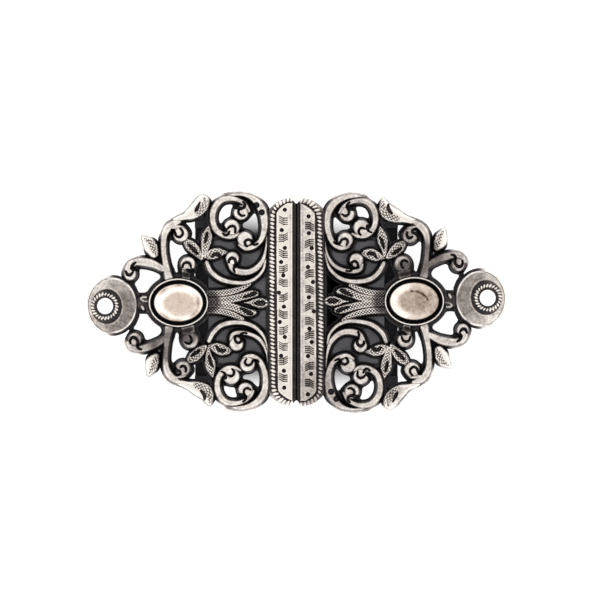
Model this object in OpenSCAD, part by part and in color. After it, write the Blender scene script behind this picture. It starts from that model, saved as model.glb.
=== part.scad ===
// An apron clasp of two cast halves, shown fastened and lying face up.
// X runs along the clasp, the seam between the halves is at X = 0, and the belt bars stand on Z = 0.
// The right half is the left one turned half a turn about Z, apart from its keeper plate.

/* [Heights] */
// Thickness of the belt bars that the clasp lies on
belt_bar_t = 1.3; // [1.0:0.1:1.6]
// Height of the castings' flat backs above the table
back_z = 3.4; // [3.3:0.1:4.2]
// Thickness of the hook plate and the keeper plate
plate_t = 0.8; // [0.6:0.1:0.9]
// Height of a scroll's crown above the casting's back
scroll_h = 1.7; // [1.2:0.1:2.2]
// Height of a volute's pearl above the casting's back
pearl_h = 2.1; // [1.4:0.1:2.6]
// Height of a leaf's crown above the casting's back
leaf_h = 1.5; // [1.1:0.1:2.0]

/* [Scrollwork] */
// How far a cast flank spreads from the crown's edge to the back
flank = 0.35; // [0.2:0.05:0.5]
// Drop from a crown to the edge where its flank begins
shoulder_drop = 0.45; // [0.3:0.05:0.6]
// Longest step between two rings along a stem or a leaf
ring_step = 1.7; // [1.0:0.1:2.0]
// Sides of a pearl
pearl_sides = 10; // [8:2:16]

/* [End disc] */
// Half length of the end disc along X
disc_rx = 4.3; // [4.0:0.05:4.5]
// Half width of the end disc along Y
disc_ry = 4.9; // [4.6:0.05:5.2]
// Height of the disc's dome above the casting's back
disc_h = 1.5; // [1.2:0.1:2.0]
// Radius of the sewing eyelet
eyelet_r = 1.3; // [1.1:0.05:1.35]
// Radius of the roped ring's middle line
eyelet_ring_r = 1.82; // [1.8:0.01:1.9]
// Radius of the roped ring's wire
eyelet_wire_r = 0.38; // [0.3:0.01:0.4]

/* [Oval setting] */
// Half length of the rim along X
rim_rx = 4.75; // [4.6:0.05:4.9]
// Half width of the rim along Y
rim_ry = 3.87; // [3.7:0.01:4.0]
// Height of the rim above the casting's back
rim_h = 2.7; // [2.3:0.1:3.2]
// Half length of the cabochon
stone_rx = 4.0; // [3.8:0.05:4.05]
// Half width of the cabochon
stone_ry = 3.05; // [2.9:0.05:3.1]
// Height of the cabochon's dome above its girdle
stone_dome = 1.3; // [0.8:0.1:1.8]

/* [Clasp bar] */
// Half length of the clasp bar's face
bar_half = 15.9; // [15.5:0.1:16.1]
// Height of the clasp bar's face above the casting's back
bar_h = 2.2; // [1.8:0.1:2.6]
// Radius of the bar's roped edge
rope_r = 0.42; // [0.35:0.01:0.45]
// Width of the low flange beside the seam
seam_flange_w = 0.5; // [0.3:0.05:0.6]

/* [Plates] */
// Half width of the hook plate and the keeper plate
plate_half = 10.1; // [9.0:0.1:10.3]
// Distance of the plates' outer edges from the seam
plate_out = 14.1; // [13.8:0.1:14.2]
// Half width of the hook's tongue
tongue_half = 4.4; // [3.8:0.1:4.6]
// Width of the belt bars
belt_bar_w = 2.2; // [1.6:0.1:2.2]
// Half length of the belt bars between their feet
belt_bar_half = 12.9; // [12.6:0.1:13.0]

/* [Hidden] */

silver = "silver";
dark_silver = "dimgray";
stone_white = "seashell";
fit_gap = 0.05;
sharp_tip = 0.22;

// Stems of the upper half, then of the lower half: name, then rows of X, Y and half width of the crown
scrolls = [
    // upper half
    ["disc scroll", [[-20.5, 4.9, 0.4], [-21.5, 5.4, 0.5], [-22.8, 6.15, 0.58], [-24.2, 6.5, 0.6],
        [-25.6, 6.45, 0.62], [-26.7, 5.9, 0.6], [-27.1, 5, 0.45]]],
    ["side stem", [[-20.35, 3.8, 0.45], [-20.8, 5.6, 0.5], [-21.15, 7.5, 0.52], [-21.25, 9.3, 0.52],
        [-21.05, 10.9, 0.6], [-20.4, 12, 0.7], [-19.5, 12.7, 0.55], [-18.8, 13, 0.35]]],
    ["side curl", [[-20.2, 11.9, 0.5], [-19.2, 12.1, 0.4], [-18.1, 12, 0.35], [-17.45, 11.2, 0.3]]],
    ["short stem", [[-17.7, 3.7, 0.7], [-17.65, 5, 0.8]]],
    ["round scroll inside", [[-9.2, 10.95, 0.3], [-10.2, 10.45, 0.42], [-11.5, 10.65, 0.55],
        [-12.7, 11.6, 0.55], [-13.2, 13.2, 0.55], [-12.9, 14.9, 0.58], [-11.8, 16.2, 0.58],
        [-10.4, 16.5, 0.5], [-9.2, 16.2, 0.42], [-8.2, 15.55, 0.4], [-7.6, 14.6, 0.35]]],
    ["round scroll outside", [[-11.1, 16.9, 0.1], [-9.9, 17.1, 0.32], [-8.4, 17, 0.45], [-6.9, 16.3, 0.65],
        [-5.7, 14.8, 0.8], [-5.2, 13.1, 0.72], [-5.2, 11.4, 0.6], [-5.7, 9.9, 0.5],
        [-6.8, 8.9, 0.48], [-8.1, 8.55, 0.42], [-9.1, 9.1, 0.32]]],
    ["second crescent", [[-10.8, 6.4, 0.4], [-10.2, 5.35, 0.55], [-9.2, 4.85, 0.6], [-7.9, 4.95, 0.55],
        [-6.6, 5.7, 0.52], [-5.6, 7, 0.42], [-5.1, 8.7, 0.28], [-4.85, 10.6, 0.15]]],
    ["first crescent", [[-14.35, 6.3, 0.4], [-13.7, 4.9, 0.48], [-12.3, 3.75, 0.48], [-10.5, 3.2, 0.42],
        [-8.5, 3.2, 0.38], [-6.9, 3.95, 0.35], [-5.6, 5.2, 0.3], [-4.95, 6.8, 0.2],
        [-4.75, 8.2, 0.1]]],
    // lower half, the same pieces in the same order
    ["disc scroll", [[-20.5, -5.3, 0.4], [-21.6, -6.3, 0.48], [-22.8, -7, 0.5], [-24.1, -7.45, 0.52],
        [-25.3, -7.6, 0.52], [-26.4, -7.3, 0.5], [-26.95, -6.5, 0.4]]],
    ["side stem", [[-20.3, -4.1, 0.45], [-20.6, -5.8, 0.5], [-20.85, -7.6, 0.5], [-20.95, -9.3, 0.52],
        [-20.75, -10.8, 0.6], [-20.1, -11.9, 0.65], [-19.2, -12.6, 0.5], [-18.4, -12.9, 0.3]]],
    ["side curl", [[-20.1, -11.6, 0.45], [-19, -11.9, 0.4], [-17.9, -11.7, 0.35], [-17.1, -10.9, 0.3]]],
    ["short stem", [[-17.4, -4.1, 1.1], [-17.2, -5.4, 1.1]]],
    ["round scroll inside", [[-9, -10.9, 0.3], [-10, -10.5, 0.4], [-11.2, -10.8, 0.5],
        [-12.15, -11.9, 0.52], [-12.45, -13.3, 0.55], [-12.1, -14.9, 0.58], [-11.1, -16, 0.55],
        [-9.8, -16.2, 0.48], [-8.5, -15.9, 0.42], [-7.5, -15.2, 0.4], [-6.95, -14.3, 0.35]]],
    ["round scroll outside", [[-10.8, -16.8, 0.1], [-9.4, -16.95, 0.38], [-7.9, -16.65, 0.5],
        [-6.4, -15.7, 0.62], [-5.4, -14.2, 0.65], [-5.05, -12.4, 0.6], [-5.2, -10.8, 0.55],
        [-5.9, -9.4, 0.5], [-7, -8.65, 0.42], [-8.2, -8.8, 0.35], [-8.8, -9.6, 0.25]]],
    ["second crescent", [[-10.5, -6, 0.35], [-10.2, -5.2, 0.4], [-9.2, -4.9, 0.42], [-7.8, -5.1, 0.4],
        [-6.5, -5.75, 0.4], [-5.6, -6.8, 0.35], [-5, -8.2, 0.25], [-4.7, -9.8, 0.12]]],
    ["first crescent", [[-14, -6.2, 0.4], [-13.3, -4.9, 0.48], [-12.2, -3.85, 0.48], [-10.6, -3.35, 0.45],
        [-8.8, -3.35, 0.42], [-7, -4, 0.4], [-5.6, -5.4, 0.35], [-4.85, -7.2, 0.22],
        [-4.6, -8.6, 0.1]]],
    // middle
    ["neck", [[-25.6, -0.15, 1.1], [-23.2, -0.15, 1.1]]]
];

// Leaves and the palmette: name, then rows of X, Y and half width of the crown
leaves = [
    // upper half
    ["side bud", [[-22.5, 7.8, 0.5], [-22.95, 8.7, 0.9], [-23.6, 9.5, 0.8], [-24.5, 10.3, 0.2]]],
    ["hooded leaf", [[-19.6, 13.2, 0.3], [-18.8, 13.5, 0.45], [-17.8, 13.8, 0.55], [-16.8, 14.35, 0.95],
        [-15.7, 15.25, 1.2], [-15.15, 16.1, 1.1], [-15.1, 16.8, 0.3]]],
    ["leaf to the curl", [[-15.2, 7, 0.35], [-15.9, 7.9, 0.7], [-16.8, 8.9, 0.85], [-17.7, 9.8, 0.45]]],
    ["upright leaf", [[-14.9, 7.4, 0.3], [-14.6, 8.8, 0.65], [-14.35, 10.3, 0.85], [-14.15, 11.5, 0.45],
        [-14.05, 12.3, 0.1]]],
    ["leaf to the seam", [[-14.6, 7.2, 0.25], [-13.7, 7.6, 0.8], [-12.7, 7.9, 0.8], [-11.8, 8.05, 0.5],
        [-11, 8.1, 0.15]]],
    // lower half
    ["side bud", [[-22.3, -8.6, 0.5], [-22.75, -9.4, 0.92], [-23, -10.3, 0.85], [-23.45, -11.5, 0.2]]],
    ["hooded leaf", [[-20.6, -11.9, 0.3], [-19.5, -12.7, 0.45], [-18.3, -13.2, 0.5], [-17, -13.65, 0.7],
        [-15.6, -14.15, 1.1], [-14.5, -14.7, 1.15], [-14.1, -15.6, 0.75], [-13.95, -16.5, 0.2]]],
    ["leaf to the curl", [[-14.6, -7.15, 0.35], [-15.5, -7.9, 0.8], [-16.3, -8.7, 0.85],
        [-17.12, -9.42, 0.42]]],
    ["upright leaf", [[-14.1, -7.4, 0.25], [-14.05, -8.6, 0.5], [-13.8, -9.8, 0.8], [-13.6, -11, 0.6],
        [-13.4, -12, 0.15]]],
    ["leaf to the seam", [[-14, -6.95, 0.2], [-12.9, -7.2, 0.75], [-12, -7.5, 0.9], [-11.1, -7.6, 0.6],
        [-10.5, -7.5, 0.2]]],
    // palmette
    ["upper rib", [[-14.2, 1.5, 0.5], [-12.4, 1.55, 0.5], [-10.4, 1.95, 0.5], [-8.7, 2.5, 0.42],
        [-7.6, 3.1, 0.3]]],
    ["upper finger", [[-14.2, 0.3, 0.35], [-12.2, 0.35, 0.45], [-10.2, 0.65, 0.55], [-8.6, 1.1, 0.6],
        [-7.3, 1.45, 0.6], [-6.4, 1.45, 0.4]]],
    ["middle finger", [[-10.2, 0, 0.2], [-8.2, 0, 0.25], [-6.8, -0.1, 0.5], [-5.6, -0.1, 0.65],
        [-4.7, -0.1, 0.6]]],
    ["lower finger", [[-14.2, -0.35, 0.35], [-12.2, -0.4, 0.45], [-10.2, -0.8, 0.55], [-8.8, -1.35, 0.6],
        [-7.6, -1.75, 0.62], [-6.7, -1.7, 0.4]]],
    ["lower rib", [[-14.2, -1.4, 0.5], [-12.4, -1.45, 0.5], [-10.4, -1.95, 0.5], [-8.7, -2.75, 0.4]]]
];

// Pearls that end the stems: name of the stem, centre, radius
pearls = [
    // upper half
    ["disc scroll", [-26.6, 4.45], 1.05],
    ["side curl", [-18.5, 10.8], 1.25],
    ["short stem", [-17.4, 6.05], 1.25],
    ["round scroll, lower left", [-10.35, 11.95], 1.3],
    ["round scroll, top", [-8.9, 14.3], 1.22],
    ["round scroll, right", [-8.25, 10.1], 1.25],
    ["second crescent", [-10.25, 7], 1.1],
    // lower half
    ["disc scroll", [-25.85, -5.95], 1.1],
    ["side curl", [-18.2, -10.6], 1.25],
    ["short stem", [-17, -6.1], 1.35],
    ["round scroll, lower left", [-10.4, -11.9], 1.35],
    ["round scroll, top", [-8.15, -14.05], 1.22],
    ["round scroll, right", [-7.85, -9.95], 1.25],
    ["second crescent", [-9.6, -6.7], 1.15],
    // middle
    ["neck", [-24.45, 0.6], 0.45],
    ["neck", [-24.5, -0.9], 0.45]
];

// The end disc, its eyelet and the oval setting: centres
disc_at = [-29.5, -0.55];
eyelet_at = [-30.65, -0.65];
setting_at = [-18.85, -0.12];
oval_sides = 28;
collar_w = 0.4;
rim_w = 0.25;
seat_h = 1.2;
collar_drop = 0.9;
stone_gap = 0.06;

// The clasp bar's cross dimensions, measured from the seam
seam_gap = 0.08;
face_in = seam_gap + seam_flange_w;
face_out = 3.1;
bar_out = 4.93;
rope_bed = 0.75;
flange_h = 1.3;
groove_h = 1.6;
bed_corner = [3.6, 3.2];
face_corner = [2.2, 1.9];
rope_z = groove_h + 0.2;
rope_step = 5;
rope_line = [
    [-0.6, 16.3], [-1.6, 16.35], [-2.7, 15.9], [-3.55, 15.0], [-3.88, 13.6], [-4.0, 9.0],
    [-4.05, 4.5], [-4.05, 0],
    [-3.95, -4.5], [-3.8, -9.0], [-3.65, -13.0], [-3.35, -14.7], [-2.6, -15.8], [-1.6, -16.35],
    [-0.6, -16.3]
];

// Pegs cast on the backs, peened over the plates and the belt bars' feet: X, Y
peg_r = 0.6;
peg_head_r = 0.95;
peg_head_t = 0.4;
peg_sides = 7;
peg_root = 0.3;
plate_pegs = [[-11.4, 0.05], [-2.0, 7.4], [-2.0, -7.4]];
foot_pegs = [[-15.4, 13.85], [-15.4, -13.85]];

// The hook's tongue and the keeper's slot, measured from the seam
plate_z = back_z - fit_gap - plate_t;
plate_in = 0.3;
plate_corner = 1.2;
tongue_clear = 0.35;
tongue_z = plate_z - plate_t - tongue_clear;
tongue_tip = 5.5;
tongue_tip_top = plate_z + 0.45;
slot_in = 4.4;
slot_out = 7.6;
slot_half = 5.3;
slot_corner = 0.6;
foot_end = 14.75;
foot_t = 0.9;
belt_bar_at = 15.2;
leg_t = 1.0;

// A point on the smooth curve between rows b and c, at t from 0 to 1
function curve(a, b, c, d, t) =
    0.5 * (2 * b + (c - a) * t + (2 * a - 5 * b + 4 * c - d) * t * t
           + (3 * b - a - 3 * c + d) * t * t * t);

function flat(p) = [p[0], p[1]];
function distance(p, q) = norm(flat(q) - flat(p));

// Points of the smooth curve through the rows of a table, none further apart than step
function smooth_rows(rows, step) =
    let (n = len(rows), r = concat([2 * rows[0] - rows[1]], rows, [2 * rows[n - 1] - rows[n - 2]]))
    concat([for (i = [1 : n - 1]) let (parts = ceil(distance(r[i], r[i + 1]) / step))
                for (s = [0 : parts - 1]) curve(r[i - 1], r[i], r[i + 1], r[i + 2], s / parts)],
           [rows[n - 1]]);

// The direction of a path at its point i, level and one long
function heading(path, i) =
    let (d = flat(path[min(i + 1, len(path) - 1)]) - flat(path[max(i - 1, 0)])) d / norm(d);

// A five-sided ring across a stem: back edge, shoulder, crown, shoulder, back edge
function ring(p, dir, half, foot, h) =
    let (side = [-dir[1], dir[0]], shoulder = h - min(shoulder_drop, 0.4 * h))
    [for (q = [[-foot, 0], [-half, shoulder], [0, h], [half, shoulder], [foot, 0]])
        [p[0] + side[0] * q[0], p[1] + side[1] * q[0], back_z + q[1]]];

// The crown of a thin stem is lower, down to 0.6 of the full height at a sharp tip
function crown(h, half) = h * (0.6 + 0.4 * min(1, half / 0.4));

// A closed skin over a chain of rings that all have the same number of points
module skin(rings) {
    n = len(rings[0]);
    m = len(rings);
    // Corner k of ring i, and the next corner round
    function at(i, k) = i * n + k % n;
    polyhedron(
        points = [for (r = rings, p = r) p],
        faces = concat(
            [[for (k = [n - 1 : -1 : 0]) at(0, k)]],
            [for (i = [0 : m - 2], k = [0 : n - 1]) [at(i, k), at(i, k + 1), at(i + 1, k)]],
            [for (i = [0 : m - 2], k = [0 : n - 1]) [at(i + 1, k), at(i, k + 1), at(i + 1, k + 1)]],
            [[for (k = [0 : n - 1]) at(m - 1, k)]]
        )
    );
}

// A cast stem or leaf through the rows of a table, h high, with blunt ends
module stem(rows, h) {
    path = smooth_rows(rows, ring_step);
    last = len(path) - 1;
    // The small ring that blunts end i, on the side that way points to; a sharp tip has none
    function blunt(i, way) =
        let (half = path[i][2], foot = half + flank, d = heading(path, i),
             p = flat(path[i]) + 0.8 * foot * way * d)
        half < sharp_tip ? [] : [ring(p, d, 0.3 * half, 0.45 * foot, 0.6 * crown(h, half))];
    skin(concat(
        blunt(0, -1),
        [for (i = [0 : last]) let (half = path[i][2])
            ring(path[i], heading(path, i), half, half + flank, crown(h, half))],
        blunt(last, 1)
    ));
}

// Level ovals on top of each other: rows of half length, half width and height above the back
module ovals(centre, rows, sides) {
    skin([for (r = rows)
        [for (k = [0 : sides - 1]) let (a = -360 * k / sides)
            [centre[0] + r[0] * cos(a), centre[1] + r[1] * sin(a), back_z + r[2]]]]);
}

// A pearl of radius r: flank, shoulder and flattened top
module pearl(centre, r) {
    top = 0.6 * r;
    ovals(centre, [[r + flank, r + flank, 0], [r, r, pearl_h - 0.75], [top, top, pearl_h]], pearl_sides);
}

// The end disc, as wide as its rows' share of the full size
module end_disc() {
    ovals(disc_at, [for (q = [[1, 0], [1, 0.55], [0.84, 0.85], [0.5, 1]])
                        [q[0] * disc_rx, q[0] * disc_ry, q[1] * disc_h]], oval_sides);
}

// The roped ring round the eyelet
module eyelet_ring() {
    translate([eyelet_at[0], eyelet_at[1], back_z + disc_h])
        rotate_extrude($fn = 20) translate([eyelet_ring_r, 0]) circle(r = eyelet_wire_r, $fn = 5);
}

// The oval setting: a collar that narrows to the rim
module setting_body() {
    ovals(setting_at, [[rim_rx + collar_w, rim_ry + collar_w, 0], [rim_rx, rim_ry, rim_h - collar_drop],
                       [rim_rx, rim_ry, rim_h - 0.1], [rim_rx - 0.1, rim_ry - 0.1, rim_h]], oval_sides);
}

// The hollow that the cabochon sits in, wider at its mouth
module setting_hollow() {
    rx = stone_rx + stone_gap;
    ry = stone_ry + stone_gap;
    ovals(setting_at, [[rx, ry, seat_h], [rx, ry, rim_h - 0.5],
                       [rim_rx - rim_w, rim_ry - rim_w, rim_h + 0.01]], oval_sides);
}

// The clasp bar: the bed of the roped edge, the low flange beside the seam, and the face
module clasp_bar() {
    translate([0, 0, back_z]) {
        linear_extrude(groove_h) bar_outline(bar_out, face_in, bar_half + rope_bed, bed_corner);
        linear_extrude(flange_h) bar_outline(face_out, seam_gap, bar_half - 0.1, face_corner);
        linear_extrude(bar_h) bar_outline(face_out, face_in, bar_half, face_corner);
    }
}

// A bar outline from x_out to x_in, up to y; quarter ellipses round its two outer corners
module bar_outline(x_out, x_in, y, corner) {
    top = [for (a = [0 : 15 : 90]) [corner[0] * (1 - cos(a)) - x_out, y - corner[1] * (1 - sin(a))]];
    bottom = [for (i = [len(top) - 1 : -1 : 0]) [top[i][0], -top[i][1]]];
    polygon(concat([[-x_in, -y]], bottom, top, [[-x_in, y]]));
}

// The roped edge of the bar as a plain six-sided strand
module roped_edge() {
    path = smooth_rows(rope_line, rope_step);
    skin([for (i = [0 : len(path) - 1]) let (d = heading(path, i))
        [for (a = [0 : 60 : 300])
            [path[i][0] + d[1] * rope_r * cos(a), path[i][1] - d[0] * rope_r * cos(a),
             back_z + rope_z + rope_r * sin(a)]]]);
}

// A peg with its peened head, down through a sheet of thickness t
module peg(at, t) {
    hang = t + 2 * fit_gap;
    translate([at[0], at[1], back_z - hang - peg_head_t]) {
        cylinder(h = peg_head_t, r1 = 0.75 * peg_head_r, r2 = peg_head_r, $fn = peg_sides);
        cylinder(h = hang + peg_head_t + peg_root, r = peg_r, $fn = peg_sides);
    }
}

// One casting with all its relief; resize with zeros keeps every size and makes the ornament one skin
module casting() {
    difference() {
        resize([0, 0, 0]) difference() {
            union() {
                for (s = scrolls) stem(s[1], scroll_h);
                for (s = leaves) stem(s[1], leaf_h);
                for (p = pearls) pearl(p[1], p[2]);
                end_disc();
                eyelet_ring();
                setting_body();
                clasp_bar();
                roped_edge();
                for (p = plate_pegs) peg(p, plate_t);
                for (p = foot_pegs) peg(p, foot_t);
            }
            setting_hollow();
        }
        translate([eyelet_at[0], eyelet_at[1], back_z - 1]) cylinder(h = 4, r = eyelet_r, $fn = 48);
    }
}

// The oval cabochon: a short girdle under a dome
module cabochon() {
    girdle = rim_h - 0.55;
    ovals(setting_at, concat([[stone_rx, stone_ry, seat_h + fit_gap]],
        [for (a = [0 : 22 : 66]) [stone_rx * cos(a), stone_ry * cos(a), girdle + stone_dome * sin(a)]],
        [[0.12 * stone_rx, 0.12 * stone_ry, girdle + stone_dome]]), oval_sides);
}

// A flat outline from x0 to x1, as wide as twice half, with round corners
module round_sheet(x0, x1, half, r) {
    translate([x0 + r, -half]) square([x1 - x0 - 2 * r, 2 * half]);
    translate([x0, -half + r]) square([x1 - x0, 2 * half - 2 * r]);
    for (x = [x0 + r, x1 - r], y = [-half + r, half - r]) translate([x, y]) circle(r = r, $fn = 32);
}

// A flat back plate on the side of the seam that the pegs of a left casting reach
module back_plate() {
    difference() {
        translate([0, 0, plate_z]) linear_extrude(plate_t)
            round_sheet(-plate_out, -plate_in, plate_half, plate_corner);
        for (p = plate_pegs) translate([p[0], p[1], plate_z - 1])
            cylinder(h = plate_t + 2, r = peg_r + fit_gap, $fn = 32);
    }
}

// The hook plate: its tongue steps down at the seam, runs behind the keeper and turns up into its slot
module hook_plate() {
    color(dark_silver) {
        back_plate();
        top = tongue_z + plate_t;
        rotate([90, 0, 0]) linear_extrude(2 * tongue_half, center = true)
            polygon([[-2.9, plate_z], [-1.7, tongue_z], [tongue_tip, tongue_z],
                     [tongue_tip - 0.1, tongue_tip_top], [tongue_tip - plate_t, tongue_tip_top],
                     [tongue_tip - plate_t, top], [-1.4, top], [-2.2, plate_z + 0.1],
                     [-2.9, plate_z + 0.1]]);
    }
}

// The keeper plate: the hook catches the inner edge of its slot
module keeper_plate() {
    color(dark_silver) difference() {
        rotate([0, 0, 180]) back_plate();
        translate([0, 0, plate_z - 1]) linear_extrude(plate_t + 2)
            round_sheet(slot_in, slot_out, slot_half, slot_corner);
    }
}

// A belt bar: a low flat bar whose legs rise to two feet on the casting's back
module belt_bar() {
    foot_z = back_z - fit_gap - foot_t;
    side = [[belt_bar_half, 0], [belt_bar_half, foot_z], [foot_end, foot_z], [foot_end, foot_z + foot_t],
            [belt_bar_half - leg_t, foot_z + foot_t], [belt_bar_half - leg_t, belt_bar_t]];
    color(dark_silver) difference() {
        translate([-belt_bar_at, 0, 0]) rotate([90, 0, 90]) linear_extrude(belt_bar_w, center = true)
            polygon(concat(side, [for (i = [len(side) - 1 : -1 : 0]) [-side[i][0], side[i][1]]]));
        for (p = foot_pegs) translate([p[0], p[1], foot_z - 1])
            cylinder(h = foot_t + 2, r = peg_r + fit_gap, $fn = 32);
    }
}

module left_casting() { color(silver) casting(); }
module left_cabochon() { color(stone_white) cabochon(); }
module left_belt_bar() { belt_bar(); }
module right_casting() { rotate([0, 0, 180]) left_casting(); }
module right_cabochon() { rotate([0, 0, 180]) left_cabochon(); }
module right_belt_bar() { rotate([0, 0, 180]) belt_bar(); }

left_casting();
left_cabochon();
hook_plate();
left_belt_bar();
right_casting();
right_cabochon();
keeper_plate();
right_belt_bar();
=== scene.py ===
import math

import bpy
import numpy as np
from mathutils import Matrix
from mathutils.geometry import delaunay_2d_cdt


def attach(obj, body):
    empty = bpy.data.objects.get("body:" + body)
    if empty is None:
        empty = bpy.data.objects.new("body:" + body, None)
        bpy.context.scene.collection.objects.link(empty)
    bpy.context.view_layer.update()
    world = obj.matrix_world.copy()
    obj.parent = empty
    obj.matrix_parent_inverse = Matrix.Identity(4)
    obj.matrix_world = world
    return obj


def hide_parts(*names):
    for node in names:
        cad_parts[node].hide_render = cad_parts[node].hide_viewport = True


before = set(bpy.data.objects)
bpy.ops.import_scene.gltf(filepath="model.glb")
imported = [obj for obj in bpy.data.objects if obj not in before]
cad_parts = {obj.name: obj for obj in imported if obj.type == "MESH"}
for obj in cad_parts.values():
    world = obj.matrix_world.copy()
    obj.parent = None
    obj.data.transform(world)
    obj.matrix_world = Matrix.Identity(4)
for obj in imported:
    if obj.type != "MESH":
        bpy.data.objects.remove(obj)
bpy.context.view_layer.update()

# An apron clasp: two cast halves of pierced scrollwork with roped bars, set with oval cabochons.
# Lengths are in millimetres up to the meshes, which are in metres. The left half is made, and the right
# half is the same mesh turned half a turn about Z, as in the castings themselves.
MM = 0.001

# Sizes, as in the castings, with heights over their flat backs, which lie at BACK_Z

BACK_Z = 3.4
SCROLL_H, LEAF_H, WEB_H = 1.7, 1.5, 0.55
NECK_H, NECK_MARK_H = 1.0, 1.35
PEARL_H, PEARL_DROP = 1.95, 0.38
# The flank beside a stroke's crown, the trim of the outer outline, and the fillet between strokes
FLANK, OUTER_TRIM, FILLET = 0.43, 0.12, 0.65
# The beads of the punched ground, whose rows run along a square's diagonals
BEAD_PITCH, BEAD_DEPTH, DIAGONAL = 0.36, 0.16, 1.414
# The height that no cut goes below, and the low wall round a relief's outline
CUT_FLOOR, LIP = 0.35, 0.25
DISC_AT, DISC_RX, DISC_RY, DISC_H = (-29.5, -0.55), 4.3, 4.9, 1.5
# The disc's section, in shares of its radius and of its height
DISC_DOME = [(0, 1), (.5, 1), (.84, .85), (.97, .62), (1, .5)]
EYELET_AT, EYELET_R = (-30.65, -0.65), 1.3
MOAT_AT, MOAT_RX, MOAT_RY, MOAT_H = (-30.42, -0.72), 2.48, 2.8, 1.15
SETTING_AT, RIM_RX, RIM_RY, RIM_H = (-18.85, -0.12), 4.75, 3.87, 2.7
STONE_RX, STONE_RY, STONE_DOME, SEAT_H = 4.06, 3.15, 1.3, 1.2
# The low collar round the setting, and the X and the distance from the axis beyond which stems sink into it
COLLAR_W, COLLAR_H = 0.75, 0.7
SINK_X, SINK_Y = -19.4, 2.6
# The bar: half its length, its face's height, and how far its face and its bed reach from the seam
BAR_HALF, BAR_H, FACE_OUT, BAR_OUT = 15.9, 2.2, 3.1, 4.93
FACE_CORNER, FACE_CORNER_UP = (2.55, 1.75), (1.9, 1.65)
# The low flange beside the seam, and the narrow groove in which the flanges of the two halves all but meet
SEAM_GAP, SEAM_FLANGE, FLANGE_H = 0.08, 0.5, 1.3
SEAM_TOUCH, SEAM_DEPTH = 0.005, 0.3
# The bed of the roped edge: its overhang past the bar's ends, its heights under the rope and outside it, and
# the X and Y where it steps from one to the other
ROPE_BED, GROOVE_H, BED_OUT_H = 0.75, 1.6, 0.8
BED_CORNER, BED_STEP_X, BED_END_Y = (3.73, 3.25), (-4.62, -4.42), (13.8, 15.6)
# The roped edge's height, the pitch of its twists, and the slant of all twists. A rope's sizes are its
# twists' length, width and height, its core's radius, and how far the core lies below the twists
ROPE_Z, ROPE_PITCH, ROPE_SLANT, ROPE_SIZES = 1.8, 0.61, -0.45, (0.49, 0.26, 0.42, 0.33, 0.12)
# The roped ring round the eyelet, and how many twists it has
ROPE_RING_AT, ROPE_RING_R, RING_TWISTS, RING_SIZES = (-30.67, -0.68), 1.94, 25, (0.36, 0.2, 0.33, 0.24, 0.1)
# The pegs through the sheets and the belt bars' feet, with what each passes through
PLATE_PEGS, PLATE_T = [(-11.4, .05), (-2, 7.4), (-2, -7.4)], 0.8
FOOT_PEGS, FOOT_T = [(-15.4, 13.85), (-15.4, -13.85)], 0.9
PEG_R, PEG_HEAD_R, PEG_HEAD_T, FIT_GAP = 0.6, 0.95, 0.4, 0.05
# The castings' fronts, the camera's height over them, the width that it sees there, and the X and Y under it
FRONT_Z, CAMERA_HEIGHT, VIEW_WIDTH, CAMERA_AT = 5, 600, 96, (0.576, 0.32)

# The reliefs' grids: their windows, as X from and to and Y from and to, their steps, all of a grid, more than
# any stroke's half width, and the gap where there's no metal near
CASTING_WINDOW, BAR_WINDOW = (-28.6, -4.2, -18.7, 18.7), (-5.2, 0.1, -17.0, 17.0)
COARSE, MEDIUM, FINE = 0.1, 0.075, 0.05
WHOLE = (slice(None), slice(None))
WIDEST, FAR = 1.3, 9.0

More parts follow.
